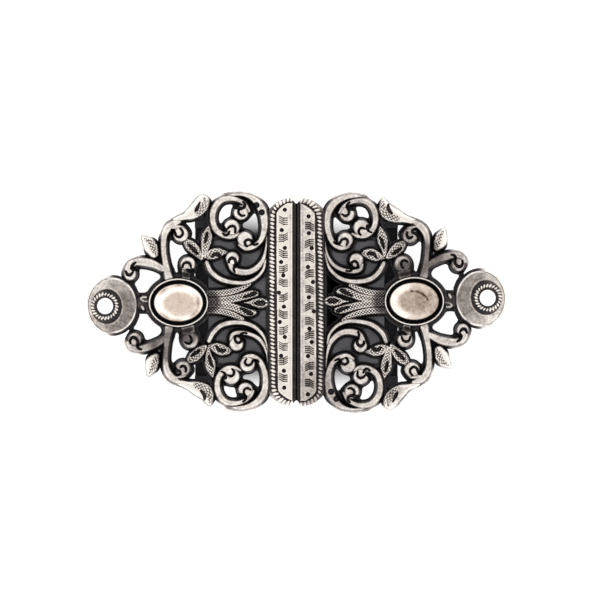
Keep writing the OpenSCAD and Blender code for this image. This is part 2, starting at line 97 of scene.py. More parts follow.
# Stems: rows of X, Y and half width of the crown
STEMS = [
    [(-20.5, 4.9, .4), (-21.5, 5.35, .58), (-22.8, 6, .7), (-24.2, 6.35, .75), (-25.6, 6.4, .68),
     (-26.7, 5.9, .6), (-27.1, 5, .45)],
    [(-20.45, 3.9, .75), (-20.8, 5.5, .6), (-21.15, 7.5, .52), (-21.25, 9.3, .52), (-21.05, 10.9, .6),
     (-20.4, 12, .7), (-19.45, 12.6, .55), (-18.7, 12.85, .35)],
    [(-20.2, 11.9, .5), (-19.3, 12, .4), (-18.25, 11.9, .35), (-17.6, 11.1, .3)],
    [(-17.7, 3.7, .7), (-17.65, 5, .8)],
    [(-9.2, 10.95, .3), (-10.2, 10.45, .42), (-11.65, 10.7, .55), (-12.9, 11.65, .55), (-13.4, 13.3, .55),
     (-13.1, 15, .58), (-12, 16.25, .55), (-10.55, 16.55, .48), (-9.3, 16.3, .42), (-8.25, 15.65, .4),
     (-7.6, 14.6, .35)],
    [(-11.3, 16.95, .1), (-10.1, 17.15, .27), (-8.5, 17.13, .32), (-6.9, 16.52, .52), (-5.6, 14.95, .76),
     (-5.1, 13.15, .72), (-5.15, 11.4, .6), (-5.7, 9.9, .5), (-6.8, 8.9, .48), (-8.1, 8.55, .42),
     (-9.1, 9.1, .32)],
    [(-10.8, 6.4, .4), (-10.2, 5.35, .55), (-9.2, 4.85, .6), (-7.7, 4.8, .55), (-6.3, 5.5, .52),
     (-5.3, 6.85, .42), (-4.87, 8.6, .28), (-4.72, 10.6, .15)],
    [(-14.35, 6.3, .4), (-13.7, 4.9, .48), (-12.3, 3.75, .48), (-10.5, 3.2, .42), (-8.3, 3.1, .38),
     (-6.6, 3.75, .35), (-5.4, 5, .33), (-5.03, 6.2, .3), (-4.85, 7.4, .18)],
    [(-20.5, -5.3, .4), (-21.6, -6.2, .58), (-22.8, -6.85, .66), (-24.1, -7.3, .68), (-25.3, -7.5, .62),
     (-26.4, -7.3, .5), (-26.95, -6.5, .4)],
    [(-20.4, -4.2, .75), (-20.65, -5.7, .6), (-20.85, -7.6, .5), (-20.95, -9.3, .52), (-20.75, -10.8, .6),
     (-20.1, -11.9, .65), (-19.2, -12.6, .5), (-18.4, -12.9, .3)],
    [(-20.1, -11.6, .45), (-19, -11.9, .4), (-17.9, -11.7, .35), (-17.1, -10.9, .3)],
    [(-17.4, -4.1, 1.1), (-17.2, -5.4, 1.1)],
    [(-9, -10.9, .3), (-10, -10.5, .4), (-11.35, -10.75, .5), (-12.35, -11.9, .52), (-12.67, -13.25, .55),
     (-12.32, -14.85, .58), (-11.3, -15.95, .55), (-9.8, -16.2, .48), (-8.5, -15.9, .42), (-7.5, -15.2, .4),
     (-6.95, -14.3, .35)],
    [(-10.8, -16.8, .1), (-9.4, -16.95, .38), (-7.8, -16.72, .48), (-6.15, -15.85, .62), (-5.12, -14.25, .65),
     (-4.92, -12.4, .6), (-5.2, -10.8, .55), (-5.9, -9.4, .5), (-7, -8.65, .42), (-8.2, -8.8, .35),
     (-8.8, -9.6, .25)],
    [(-10.5, -6, .35), (-10.2, -5.2, .4), (-9.2, -4.9, .42), (-7.6, -5.1, .4), (-6.2, -5.75, .4),
     (-5.3, -6.8, .35), (-4.77, -8.2, .25), (-4.6, -9.8, .12)],
    [(-14, -6.2, .4), (-13.3, -4.9, .48), (-12.2, -3.85, .48), (-10.6, -3.35, .45), (-8.5, -3.35, .42),
     (-6.7, -4, .4), (-5.3, -5.4, .35), (-4.68, -7.2, .22), (-4.5, -8.6, .1)],
]

# The neck between the end disc and the setting: a low block, and the hook and bud that stand on it
NECK = [(-25.1, -.2, 1), (-23.2, -.2, 1)]
NECK_MARKS = [[(-24, .76, .24), (-24.6, .76, .26), (-24.88, .55, .25), (-24.65, .28, .22), (-24.25, .12, .2),
               (-23.85, .08, .18)],
              [(-24.72, -.76, .3), (-24.5, -1.06, .34)]]

# Leaves: how dark the punched ground is, where it lies (all over, or to the left or right of the path from
# a length onward), then rows of X, Y and half width of the crown
LEAVES = [
    (0.55, ("right", 0), [(-22.85, 7.75, .75), (-23.2, 8.6, 1), (-23.65, 9.45, .85), (-24.5, 10.3, .2)]),
    (0.35, ("right", 3.4), [(-19.5, 13.05, .3), (-18.7, 13.35, .45), (-17.7, 13.65, .55), (-16.7, 14.2, .95),
                           (-15.6, 15.1, 1.2), (-15.05, 15.95, 1.1), (-15, 16.7, .3)]),
    (0.62, ("all", 0), [(-15.2, 7, .35), (-15.9, 7.9, .7), (-16.8, 8.9, .85), (-17.7, 9.8, .45)]),
    (0.62, ("all", 0), [(-14.9, 7.4, .3), (-14.6, 8.8, .65), (-14.35, 10.3, .85), (-14.15, 11.5, .45),
                        (-14.05, 12.3, .1)]),
    (0.62, ("all", 0), [(-14.6, 7.2, .25), (-13.7, 7.55, .8), (-12.7, 7.85, .8), (-11.85, 7.95, .5),
                        (-11.05, 7.95, .15)]),
    (0.55, ("left", 0), [(-22.5, -8.7, .55), (-22.98, -9.5, .95), (-23.2, -10.4, .85), (-23.6, -11.6, .2)]),
    (0.6, ("left", 4.4), [(-20.6, -11.85, .3), (-19.5, -12.5, .45), (-18.3, -12.95, .5), (-17, -13.4, .7),
                          (-15.6, -13.9, 1.1), (-14.5, -14.5, 1.15), (-14.1, -15.4, .75),
                          (-13.95, -16.35, .2)]),
    (0.62, ("all", 0), [(-14.6, -7.15, .35), (-15.5, -7.9, .8), (-16.3, -8.7, .85), (-17.12, -9.42, .42)]),
    (0.62, ("all", 0), [(-14.1, -7.4, .25), (-14.05, -8.6, .5), (-13.8, -9.8, .8), (-13.6, -11, .6),
                        (-13.4, -12, .15)]),
    (0.62, ("all", 0), [(-14, -7, .2), (-12.9, -7.3, .75), (-12, -7.65, .9), (-11.1, -7.78, .6),
                        (-10.5, -7.68, .2)]),
    (0.92, ("all", 0), [(-14.2, 1.35, .55), (-12.3, 1.4, .55), (-10.3, 1.72, .52), (-8.55, 2.3, .42),
                       (-7.45, 2.9, .3)]),
    (0.92, ("all", 0), [(-14.2, .3, .45), (-12.1, .3, .55), (-10.1, .52, .6), (-8.45, .92, .62),
                       (-7.2, 1.27, .62), (-6.4, 1.32, .42)]),
    (0.92, ("all", 0), [(-8.3, -.1, .12), (-7.5, -.1, .26), (-6.7, -.12, .58), (-5.8, -.15, .8),
                       (-5, -.15, .68)]),
    (0.92, ("all", 0), [(-14.2, -.5, .45), (-12.2, -.5, .55), (-10.2, -.8, .58), (-8.8, -1.35, .62),
                       (-7.6, -1.75, .62), (-6.7, -1.7, .4)]),
    (0.92, ("all", 0), [(-14.2, -1.4, .5), (-12.4, -1.45, .5), (-10.4, -1.95, .5), (-8.7, -2.75, .4)]),
]

# Pearls that end the stems: X, Y, radius
PEARLS = [(-26.6, 4.45, 1.05), (-18.5, 10.8, 1.25), (-17.4, 6.05, 1.25), (-10.35, 11.95, 1.3),
          (-8.9, 14.3, 1.22), (-8.25, 10.1, 1.25), (-10.25, 7, 1.1), (-25.85, -5.95, 1.1),
          (-18.2, -10.6, 1.25), (-17, -6.1, 1.35), (-10.4, -11.9, 1.35), (-8.15, -14.05, 1.22),
          (-7.85, -9.95, 1.25), (-9.6, -6.7, 1.15)]

# Low webs of metal between strokes: over a rivet's root, beside the belt bar and the roped edge, and along
# the end disc. The two beside the roped edge are black metal put in as painted shade, over small openings.
WEBS = [[(-15.4, 13.8, .6), (-15.3, 14.2, .6)], [(-14.3, 14.9, .35), (-14.2, 13.5, .3), (-14.1, 12.4, .2)],
        [(-14.1, -11.6, .2), (-13.75, -12.6, .3), (-13.6, -13.3, .35)],
        [(-13.1, 10.2, .3), (-12.7, 10.25, .25)], [(-12.6, -10.15, .3), (-12.2, -10.2, .25)],
        [(-5.05, 4.5, .3), (-5.05, 4.6, .3)], [(-5.05, -4.85, .3), (-5.05, -4.95, .3)],
        [(-25.45, 1.1, .3), (-25.95, 2.3, .3), (-26.6, 3.1, .3)],
        [(-25.45, -2.2, .3), (-25.95, -3.4, .3), (-26.6, -4.2, .3)]]

# Painted shade in spots: X, Y, radius and the share of the wear kept. Then the share of wear kept deep inside
# the scrolls, which is painted shade
SHADE_SPOTS = [(-17.3, -5.4, 1.9, .42), (-20.7, -7, 3.6, .5), (-24.4, -6.8, 2.9, .72), (-17.5, 4.6, 1.0, .4),
        (-15.5, -8.3, 3.0, .88), (-9.4, -4.9, 2.0, .9), (-18.2, -10.6, 2, .75), (-14.4, 0, 2.9, .35)]
INNER_SHADE = 0.88
# The right half's painted light and shade: the share of the left one's wear that it keeps, by piece, and the
# spots of painted shade: X, Y, radius and share
RIGHT_LIGHT_SHARE = {"left_clasp_bar": 0.82, "left_end_disc": 1.03, "left_openwork": 0.91, "left_roped_edge": 0.88}
RIGHT_SHADE_SPOTS = [(3.5, -13.5, 6.5, 0.8), (16.4, -14.8, 2.6, 0.72)]
# Smudges on the left stone, by the degrees round it and the share of its radius, and the scratch on the right
# stone, by X and Y from its middle
SMUDGES = [(5, .8), (88, .87), (138, .85), (222, .87), (265, .9), (325, .85)]
SCRATCH = [(-.55, 1.63), (.15, 1.6), (.75, 1.4), (1.35, 1.18), (1.75, .83), (2.1, .23)]

# Chased commas that turn the pearls into volutes: rows of X, Y and half width of the cut
COMMAS = [
    [(-27.25, 4.9, .1), (-27.1, 4.5, .16), (-26.8, 4.3, .17), (-26.45, 4.4, .15), (-26.15, 4.8, .1)],
    [(-25.6, 5.45, .14), (-26.05, 5.15, .15), (-26.37, 5.4, .15), (-26.3, 5.8, .14), (-26.05, 6.1, .14),
     (-25.75, 6.3, .1)],
    [(-19.95, 11.55, .1), (-19.65, 11.45, .13), (-19.45, 11.1, .15), (-19.25, 10.65, .12),
     (-18.95, 10.42, .13), (-18.6, 10.42, .14), (-18.27, 10.72, .13), (-18.18, 11.1, .12),
     (-18.3, 11.45, .11), (-18.6, 11.75, .08)],
    [(-18.2, 5.55, .09), (-18.1, 6, .12), (-17.85, 6.25, .13), (-17.5, 6.32, .14), (-17.15, 6.2, .13),
     (-16.95, 5.9, .12), (-16.85, 5.6, .09)],
    [(-17.5, 5.15, .1), (-17.15, 4.95, .2), (-16.7, 5.1, .2)],
    [(-11, 11.72, .09), (-10.75, 11.97, .12), (-10.38, 12.13, .14), (-9.98, 12.08, .14),
     (-9.76, 11.75, .12), (-9.8, 11.12, .08)],
    [(-12, 12.1, .3), (-11.55, 11.72, .22), (-11.15, 11.38, .1)],
    [(-11.75, 10.95, .08), (-11.4, 10.7, .12), (-11.05, 10.75, .13), (-10.8, 11.05, .1),
     (-10.72, 11.3, .08)],
    [(-9.13, 14.83, .1), (-9.27, 14.5, .13), (-9.22, 14.2, .13), (-9, 13.96, .13), (-8.65, 13.78, .12),
     (-8.3, 13.86, .08)],
    [(-9.7, 15.25, .3), (-9.15, 15, .22), (-8.75, 14.95, .17), (-8.42, 15.1, .14), (-8.22, 15.4, .13),
     (-8.27, 15.72, .12), (-8.55, 16.02, .09)],
    [(-7.91, 8.92, .09), (-8.16, 9.18, .12), (-8.26, 9.51, .13), (-8.08, 9.84, .14), (-7.68, 9.97, .14),
     (-7.28, 9.82, .14), (-7.08, 9.55, .14), (-6.98, 9.3, .13), (-6.76, 9.15, .12), (-6.46, 9.2, .11),
     (-6.18, 9.35, .08)],
    [(-10.79, 6.36, .1), (-10.77, 6.68, .14), (-10.57, 6.93, .16), (-10.22, 7.04, .17),
     (-9.88, 6.86, .17), (-9.72, 6.5, .15), (-9.75, 6.05, .13), (-9.95, 5.6, .13), (-10.02, 5.15, .12),
     (-9.85, 4.8, .08)],
    [(-26.55, -6.6, .09), (-26.55, -6.1, .13), (-26.35, -5.75, .16), (-26, -5.65, .17),
     (-25.65, -5.85, .15), (-25.42, -6.15, .15), (-25.35, -6.6, .16), (-25.45, -7.1, .15),
     (-25.15, -7.5, .13), (-24.8, -7.55, .08)],
    [(-18.53, -10.45, .08), (-18.31, -10.27, .13), (-17.96, -10.25, .14), (-17.72, -10.55, .14),
     (-17.66, -10.9, .12), (-17.74, -11.18, .08)],
    [(-19.75, -10.2, .22), (-19.3, -10.8, .2), (-18.96, -10.97, .16), (-18.61, -11.1, .14),
     (-18.56, -11.4, .12), (-18.86, -11.66, .12), (-19.26, -11.7, .11), (-19.61, -11.42, .08)],
    [(-17.07, -5.42, .08), (-16.82, -5.8, .11), (-16.77, -6.25, .12), (-17.02, -6.6, .12),
     (-17.42, -6.65, .1), (-17.77, -6.42, .08)],
    [(-10.3, -10.73, .08), (-10.03, -11, .12), (-9.98, -11.4, .13), (-10.18, -11.75, .13),
     (-10.53, -11.85, .12), (-10.95, -11.7, .08)],
    [(-12, -11.13, .06), (-11.63, -11.3, .09), (-11.38, -11.6, .14), (-11.4, -12.1, .22)],
    [(-7.33, -14.05, .08), (-7.7, -13.8, .12), (-8.1, -13.84, .13), (-8.35, -14.09, .12),
     (-8.4, -14.5, .12), (-8.25, -14.8, .1)],
    [(-9.3, -14.98, .3), (-8.75, -14.88, .2), (-8.25, -14.95, .14), (-8.05, -15.24, .12),
     (-8.2, -15.64, .12), (-8.52, -15.94, .08)],
    [(-8, -9.12, .08), (-8.21, -9.49, .12), (-8.16, -9.84, .13), (-7.91, -10.08, .13),
     (-7.56, -10.09, .13), (-7.26, -9.94, .13), (-7.1, -9.72, .12), (-7.02, -9.52, .12),
     (-6.81, -9.34, .12), (-6.41, -9.3, .11), (-6.02, -9.58, .08)],
    [(-9.77, -5.48, .09), (-9.83, -5.94, .13), (-9.67, -6.34, .14), (-9.37, -6.54, .14),
     (-9.02, -6.44, .14), (-8.75, -6.12, .15), (-8.82, -5.74, .15), (-8.87, -5.24, .13),
     (-8.67, -4.99, .11), (-8.37, -4.94, .1), (-7.95, -5, .07)],
]

# Dark slots cut in the leaves and the palmette: rows of X, Y and half width
SLOTS = [
    [(-15.45, 15.95, .05), (-15.7, 15.4, .15), (-15.95, 14.9, .2), (-16.15, 14.55, .1)],
    [(-17.2, 9.15, .1), (-16.8, 8.75, .22), (-16.35, 8.3, .24), (-15.85, 7.75, .1)],
    [(-14.25, 11.15, .07), (-14.35, 10.6, .18), (-14.5, 10, .18), (-14.6, 9.55, .08)],
    [(-13.5, 7.25, .1), (-13.2, 7.58, .2), (-12.7, 7.63, .24), (-12.27, 7.35, .2), (-12.15, 7.1, .08)],
    [(-15.3, -14.2, .1), (-14.95, -14.55, .2), (-14.7, -15, .22), (-14.7, -15.6, .1)],
    [(-15.5, -7.75, .1), (-15.95, -8.05, .2), (-16.45, -8.35, .2), (-16.78, -8.62, .1)],
    [(-14, -8.55, .07), (-13.85, -9.2, .17), (-13.65, -9.9, .18), (-13.35, -10.35, .08)],
    [(-12.85, -7.05, .08), (-12.55, -7.48, .17), (-12.1, -7.77, .25), (-11.6, -7.76, .18),
     (-11.35, -7.66, .07)],
    [(-8.4, .78, .1), (-7.6, 1.02, .2), (-6.9, 1.32, .25), (-6.45, 1.42, .12)],
    [(-6.6, -.2, .12), (-6, -.2, .3), (-5.4, -.2, .3), (-5.1, -.2, .15)],
    [(-8.9, -1, .1), (-8.2, -1.35, .22), (-7.5, -1.75, .28), (-7.1, -1.95, .12)],
]

# Punched dots on the round scroll and on the bar's face: X, Y
RING_DOTS, RING_DOT_R = [(-6.4, 15.5), (-5.55, 14.35)], 0.47
BAR_DOTS = [(-1.85, 14.75), (-2.35, 11.5), (-1.85, 8.65), (-2.45, 6.4), (-2.1, 4.25), (-2.8, 1.5),
            (-2.0, -.75), (-2.65, -3.2), (-1.85, -5.6), (-2.45, -8.6), (-2.0, -11.0), (-1.95, -13.7)]
BAR_DOT_R = 0.3
# Groups of chased strokes on the bar's face: Y of the middle, and the side that the strokes slant to. Then
# the X of the middle and the strokes' pitch
BAR_STROKES = [(12.9, -1), (10.2, 1), (7.6, -1), (5.2, 1), (3.0, -1), (.6, 1), (-2.1, -1), (-4.6, 1),
               (-7.2, -1), (-9.5, 1), (-12.2, -1)]
STROKE_X, STROKE_PITCH = -2.08, 0.33
# The roped edge: X, Y and how long its twists are, which grows round the lower corner. Then the Y over
# which its ends are rubbed bright
ROPE_LINE = [(-.75, 16.3, .7), (-1.3, 16.25, .7), (-2, 16.02, .72), (-2.6, 15.75, .75), (-3.1, 15.35, .8),
             (-3.45, 14.9, .75), (-3.72, 14.2, .78), (-3.83, 13.2, .8), (-3.88, 9, .92), (-3.9, 4.5, 1),
             (-3.9, 0, 1), (-3.86, -4.5, 1), (-3.75, -9, .95), (-3.66, -13.4, .9), (-3.45, -14.3, 1.1),
             (-3, -15.12, 1.15), (-2.4, -15.7, 1.1), (-1.75, -16, 1.05), (-1.2, -16.15, 1),
             (-.75, -16.15, .9)]
ROPE_END_Y = (15, 15.9)


# Curves and tones

def smooth(rows, step=0.12):
    """Points of the smooth curve through rows, about step apart."""
    r = np.array(rows, float)
    r = np.vstack([2 * r[0] - r[1], r, 2 * r[-1] - r[-2]])
    out = []
    for a, b, c, d in zip(r, r[1:], r[2:], r[3:]):
        n = max(1, int(math.ceil(np.hypot(*(c - b)[:2]) / step)))
        t = (np.arange(n) / n)[:, None]
        out.append(0.5 * (2 * b + (c - a) * t + (2 * a - 5 * b + 4 * c - d) * t * t
                          + (3 * b - a - 3 * c + d) * t ** 3))
    return np.vstack(out + [r[-2:-1]])


def ease(x, lo, hi):
    """0 at lo, 1 at hi, and smooth between."""
    t = np.clip((x - lo) / (hi - lo), 0, 1)
    return t * t * (3 - 2 * t)


def bell(x, middle, width):
    """1 in the middle, and falling off over about width on both sides."""
    return np.exp(-((x - middle) / width) ** 2)


def oval_share(x, y, centre, rx, ry):
    """How far out in an oval each point is: 0 in its middle, 1 on its edge and more outside."""
    return np.hypot((x - centre[0]) / rx, (y - centre[1]) / ry)


def blur(a, radius):
    """A soft mean over about radius cells, taken twice each way."""
    n = 2 * radius + 1
    for axis in (0, 1, 0, 1):
        p = np.concatenate([np.repeat(a.take([0], axis), radius + 1, axis), a,
                            np.repeat(a.take([-1], axis), radius, axis)], axis)
        c = np.cumsum(p, axis)
        size = a.shape[axis]
        a = (c.take(np.arange(n, n + size), axis) - c.take(np.arange(size), axis)) / n
    return a


def round_spot(x, y, radius):
    """The rows of a round spot, as a very short path."""
    return [(x, y, radius), (x + 0.01, y, radius)]


def flank(height, gap):
    """The height of a stroke's sloping side, gap outside its crown."""
    return height * (1 - np.clip(gap / FLANK, 0, 1) ** 0.6)


def punched_ground(gap, along, side, part, start):
    """How far down in the punched ground of a leaf each point is: 0 on its beads, and 1 between them."""
    s, t = ((along + way * side) / (BEAD_PITCH * DIAGONAL) for way in (1, -1))
    bead = ease((np.cos(math.pi * s) * np.cos(math.pi * t)) ** 2, 0.0, 0.22)
    # Its rim is a brighter row of beads
    bead = np.maximum(bead, 0.75 * bell(gap, -0.15, 0.09))
    share = ease(gap, 0.04, -0.08)
    if start:
        share = share * ease(along, start - 0.4, start + 0.4)
    if part != "all":
        share = share * ease(side if part == "left" else -side, -0.35, 0.05)
    return (1 - bead) * share


# Reliefs

class Relief:
    """A casting's front on a square grid: height over the flat back, how far outside the metal a point is,
    and its wear with painted light and shade, from 0 for black oxide to 1 for bare silver."""

    def __init__(self, window, step):
        x0, x1, y0, y1 = window
        self.step = step
        self.x, self.y = np.arange(x0, x1 + step, step), np.arange(y0, y1 + step, step)
        self.X, self.Y = np.meshgrid(self.x, self.y, indexing="ij")
        self.z, self.worn = np.zeros(self.X.shape), np.zeros(self.X.shape)
        self.out = np.full(self.X.shape, FAR)

    def near(self, rows, reach):
        """The window of the grid within reach of a path, and there: the gap outside the path's half width,
        the half width, the length along the path, and the offset to its left."""
        path = smooth(rows)
        lo, hi = path[:, :2].min(0) - reach, path[:, :2].max(0) + reach
        w = (slice(*np.searchsorted(self.x, (lo[0], hi[0]))), slice(*np.searchsorted(self.y, (lo[1], hi[1]))))
        X, Y = self.X[w], self.Y[w]
        gap = np.full(X.shape, FAR)
        half, along, side = np.zeros((3, *X.shape))
        start = 0.0
        for a, b in zip(path, path[1:]):
            dx, dy, widening = b - a
            length = np.hypot(dx, dy)
            t = np.clip(((X - a[0]) * dx + (Y - a[1]) * dy) / length ** 2, 0, 1)
            h = a[2] + t * widening
            g = np.hypot(X - a[0] - t * dx, Y - a[1] - t * dy) - h
            closer = g < gap
            gap[closer], half[closer] = g[closer], h[closer]
            along[closer] = (start + t * length)[closer]
            side[closer] = (((Y - a[1]) * dx - (X - a[0]) * dy) / length)[closer]
            start += length
        return w, gap, half, along, side

    def lay(self, w, z, out, worn):
        """Adds metal, with a fillet in the corners between strokes. Where it's higher than what is there, it
        also brings its own wear."""
        higher = (z > self.z[w]) & (out < 0)
        self.z[w] = np.where(higher, z, self.z[w])
        self.worn[w] = np.where(higher, worn, self.worn[w])
        h = np.clip(1 - np.abs(self.out[w] - out) / FILLET, 0, 1)
        self.out[w] = np.minimum(self.out[w], out) - h * h * FILLET / 4

    def stem(self, rows, height, drop, ground=0.0, where=("all", 0)):
        """A stem or a leaf with a flat-topped crown and sloping flanks. ground is how dark its punched ground
        of beads is."""
        w, gap, half, along, side = self.near(rows, WIDEST + FLANK)
        crown = height * (0.6 + 0.4 * np.minimum(1, half / 0.4))
        shoulder = crown - np.minimum(drop, 0.4 * crown)
        t = np.clip(1 + gap / np.maximum(half, 0.05), 0, 1)
        top = crown - (crown - shoulder) * t ** 3
        worn = ease(gap, 0.13, -0.29)
        if ground:
            pits = punched_ground(gap, along, side, *where)
            top = top - BEAD_DEPTH * pits
            worn = ease(gap, 0.14, -0.1) * (1.25 - (ground + 0.25) * pits)
        self.lay(w, np.where(gap < 0, top, flank(shoulder, gap)), gap - FLANK, worn)

    def pearl(self, x, y, radius):
        """A low round dome."""
        w, gap, *_ = self.near(round_spot(x, y, radius), radius + 1)
        top = PEARL_H - PEARL_DROP * np.clip(1 + gap / radius, 0, 1) ** 3
        z = np.where(gap < 0, top, flank(PEARL_H - PEARL_DROP, gap))
        self.lay(w, z, gap - FLANK, ease(gap, 0.13, -0.32))

    def valleys(self, share):
        """Blackens the seams where strokes run into each other, and the foot of every step."""
        hollow = blur(self.z, round(0.16 / self.step)) - self.z
        self.worn *= 1 - share * ease(hollow, 0.03, 0.16)

    def cut(self, rows, depth, wide=1.0, tone=0.0):
        """Chases a groove of that depth, wide times the rows' width, and darkens it to a tone."""
        w, gap, half, *_ = self.near([(x, y, wide * h) for x, y, h in rows], 1.0)
        cut = self.z[w] - depth * ease(gap, 0.08, -0.5 * half)
        self.z[w] = np.maximum(cut, np.minimum(self.z[w], CUT_FLOOR))
        dark = ease(gap, 0.09, -0.06)
        self.worn[w] = np.minimum(self.worn[w], self.worn[w] * (1 - dark) + tone * dark)

    def outside(self, gap=0.3):
        """1 in the air round the whole casting, and 0 on metal, in its openings and in the gaps narrower than
        twice gap that lead to them."""
        sea = np.zeros(self.out.shape, bool)
        sea[[0, -1]] = sea[:, [0, -1]] = True
        for air, rounds in ((self.out > gap, sea.size), (self.out > 0, int(gap / self.step) + 1)):
            sea &= air
            for _ in range(rounds):
                grown = sea.copy()
                grown[1:] |= sea[:-1]
                grown[:-1] |= sea[1:]
                grown[:, 1:] |= sea[:, :-1]
                grown[:, :-1] |= sea[:, 1:]
                grown &= air
                if (grown == sea).all():
                    break
                sea = grown
        return sea.astype(float)

    def read(self, field, x, y):
        """A field of the grid at any points."""
        u = np.clip((x - self.x[0]) / self.step, 0, len(self.x) - 1.001)
        v = np.clip((y - self.y[0]) / self.step, 0, len(self.y) - 1.001)
        i, j = u.astype(int), v.astype(int)
        u, v = u - i, v - j
        return ((field[i, j] * (1 - u) + field[i + 1, j] * u) * (1 - v)
                + (field[i, j + 1] * (1 - u) + field[i + 1, j + 1] * u) * v)


# Meshes

def add_object(name, data):
    """A new object in the scene."""
    ob = bpy.data.objects.new(name, data)
    bpy.context.scene.collection.objects.link(ob)
    return ob


def make_mesh(name, points, faces, worn):
    """A mesh object from points in millimetres, with its wear and painted light and shade at each point."""
    mesh = bpy.data.meshes.new(name)
    mesh.from_pydata(np.asarray(points) * MM, [], faces)
    mesh.attributes.new("worn", "FLOAT", "POINT").data.foreach_set("value", np.asarray(worn, np.float32))
    mesh.validate()
    mesh.polygons.foreach_set("use_smooth", np.ones(len(mesh.polygons), bool))
    mesh.set_sharp_from_angle(angle=math.radians(55))
    return add_object(name, mesh)


def get_wear_and_light(mesh):
    """A mesh's wear and painted light and shade, and its points' X and Y in millimetres."""
    worn, co = np.empty(len(mesh.vertices), np.float32), np.empty(3 * len(mesh.vertices), np.float32)
    mesh.attributes["worn"].data.foreach_get("value", worn)
    mesh.vertices.foreach_get("co", co)
    return worn, co[0::3] / MM, co[1::3] / MM


def set_wear_and_light(mesh, worn):
    """Gives a mesh its wear and painted light and shade."""
    mesh.attributes["worn"].data.foreach_set("value", np.asarray(worn, np.float32))


def relief_back(r, edge, rim):
    """The triangles of a relief's flat back: those between its outline's points that lie in the metal."""
    _, _, triangles, origins, _, _ = delaunay_2d_cdt([tuple(p) for p in edge], rim, [], 0, 1e-7)
    corners = np.array([[origins[k][0] for k in t] for t in triangles])
    x, y = edge[corners].mean(1).T
    return corners[r.read(r.out, x, y) < 0]


def relief_mesh(name, r, back=0.0):
    """The closed mesh of a relief: its front, a low wall round its outline and a flat back. The backs of
    pieces that overlap lie a hair apart, so that they don't flicker."""
    inside = r.out < 0
    count = int(inside.sum())
    index = np.full(inside.shape, -1)
    index[inside] = np.arange(count)
    crossing, edge, edge_wear_and_light = {}, [], []

    def cross(p, q):
        """The number of the point where the outline crosses the grid line from p to q."""
        a, b = min(p, q), max(p, q)
        if (a, b) not in crossing:
            t = min(max(r.out[a] / (r.out[a] - r.out[b]), 0.03), 0.97)
            crossing[a, b] = count + len(edge)
            edge.append((r.X[a] + t * (r.X[b] - r.X[a]), r.Y[a] + t * (r.Y[b] - r.Y[a])))
            edge_wear_and_light.append(r.worn[a if inside[a] else b])
        return crossing[a, b]

    corners = (inside[:-1, :-1], inside[1:, :-1], inside[1:, 1:], inside[:-1, 1:])
    whole = np.logical_and.reduce(corners)
    # Whole cells are faces as they are, and those that the outline crosses are clipped to it
    i, j = np.nonzero(whole)
    faces = np.column_stack([index[i, j], index[i + 1, j], index[i + 1, j + 1], index[i, j + 1]]).tolist()
    rim = []
    for i, j in zip(*np.nonzero(np.logical_or.reduce(corners) & ~whole)):
        corner = [(i, j), (i + 1, j), (i + 1, j + 1), (i, j + 1)]
        ring, kinds = [], []
        for p, q in zip(corner, corner[1:] + corner[:1]):
            if inside[p]:
                ring.append(int(index[p]))
                kinds.append("in")
            if inside[p] != inside[q]:
                ring.append(cross(p, q))
                kinds.append("leave" if inside[p] else "enter")
        faces.append(ring)
        for a, b, kind, following in zip(ring, ring[1:] + ring[:1], kinds, kinds[1:] + kinds[:1]):
            if (kind, following) == ("leave", "enter"):
                rim.append((a, b))

    edge = np.array(edge)
    size = len(edge)
    faces += [(b, a, a + size, b + size) for a, b in rim]
    low = relief_back(r, edge, [(a - count, b - count) for a, b in rim])
    faces += (count + size + low[:, ::-1]).tolist()
    z = BACK_Z + np.maximum(r.z, LIP)
    points = [np.column_stack([r.X[inside], r.Y[inside], z[inside]])]
    points += [np.column_stack([edge, np.full(size, BACK_Z + level)]) for level in (LIP, back)]
    worn = np.concatenate([r.worn[inside], edge_wear_and_light, np.zeros(size)])
    return make_mesh(name, np.vstack(points), faces, worn)


def bridge(order, sides):
    """The faces between rings of points, in that order."""
    return [(i * sides + k, i * sides + (k + 1) % sides, j * sides + (k + 1) % sides, j * sides + k)
            for i, j in zip(order, order[1:]) for k in range(sides)]


def oval(centre, rx, ry, sides):
    """Points round an oval."""
    a = np.linspace(0, 2 * math.pi, sides, endpoint=False)
    return np.column_stack([centre[0] + rx * np.cos(a), centre[1] + ry * np.sin(a)])


def oval_loft(name, centre, rows, sides):
    """A closed skin over level ovals, from rows of half length, half width, height over the back and wear."""
    points = [np.column_stack([oval(centre, rx, ry, sides), np.full(sides, BACK_Z + z)])
              for rx, ry, z, _ in rows]
    last = (len(rows) - 1) * sides
    faces = bridge(range(len(rows)), sides)
    faces += [list(range(sides - 1, -1, -1)), [last + k for k in range(sides)]]
    return make_mesh(name, np.vstack(points), faces, np.repeat([w for _, _, _, w in rows], sides))


# The castings

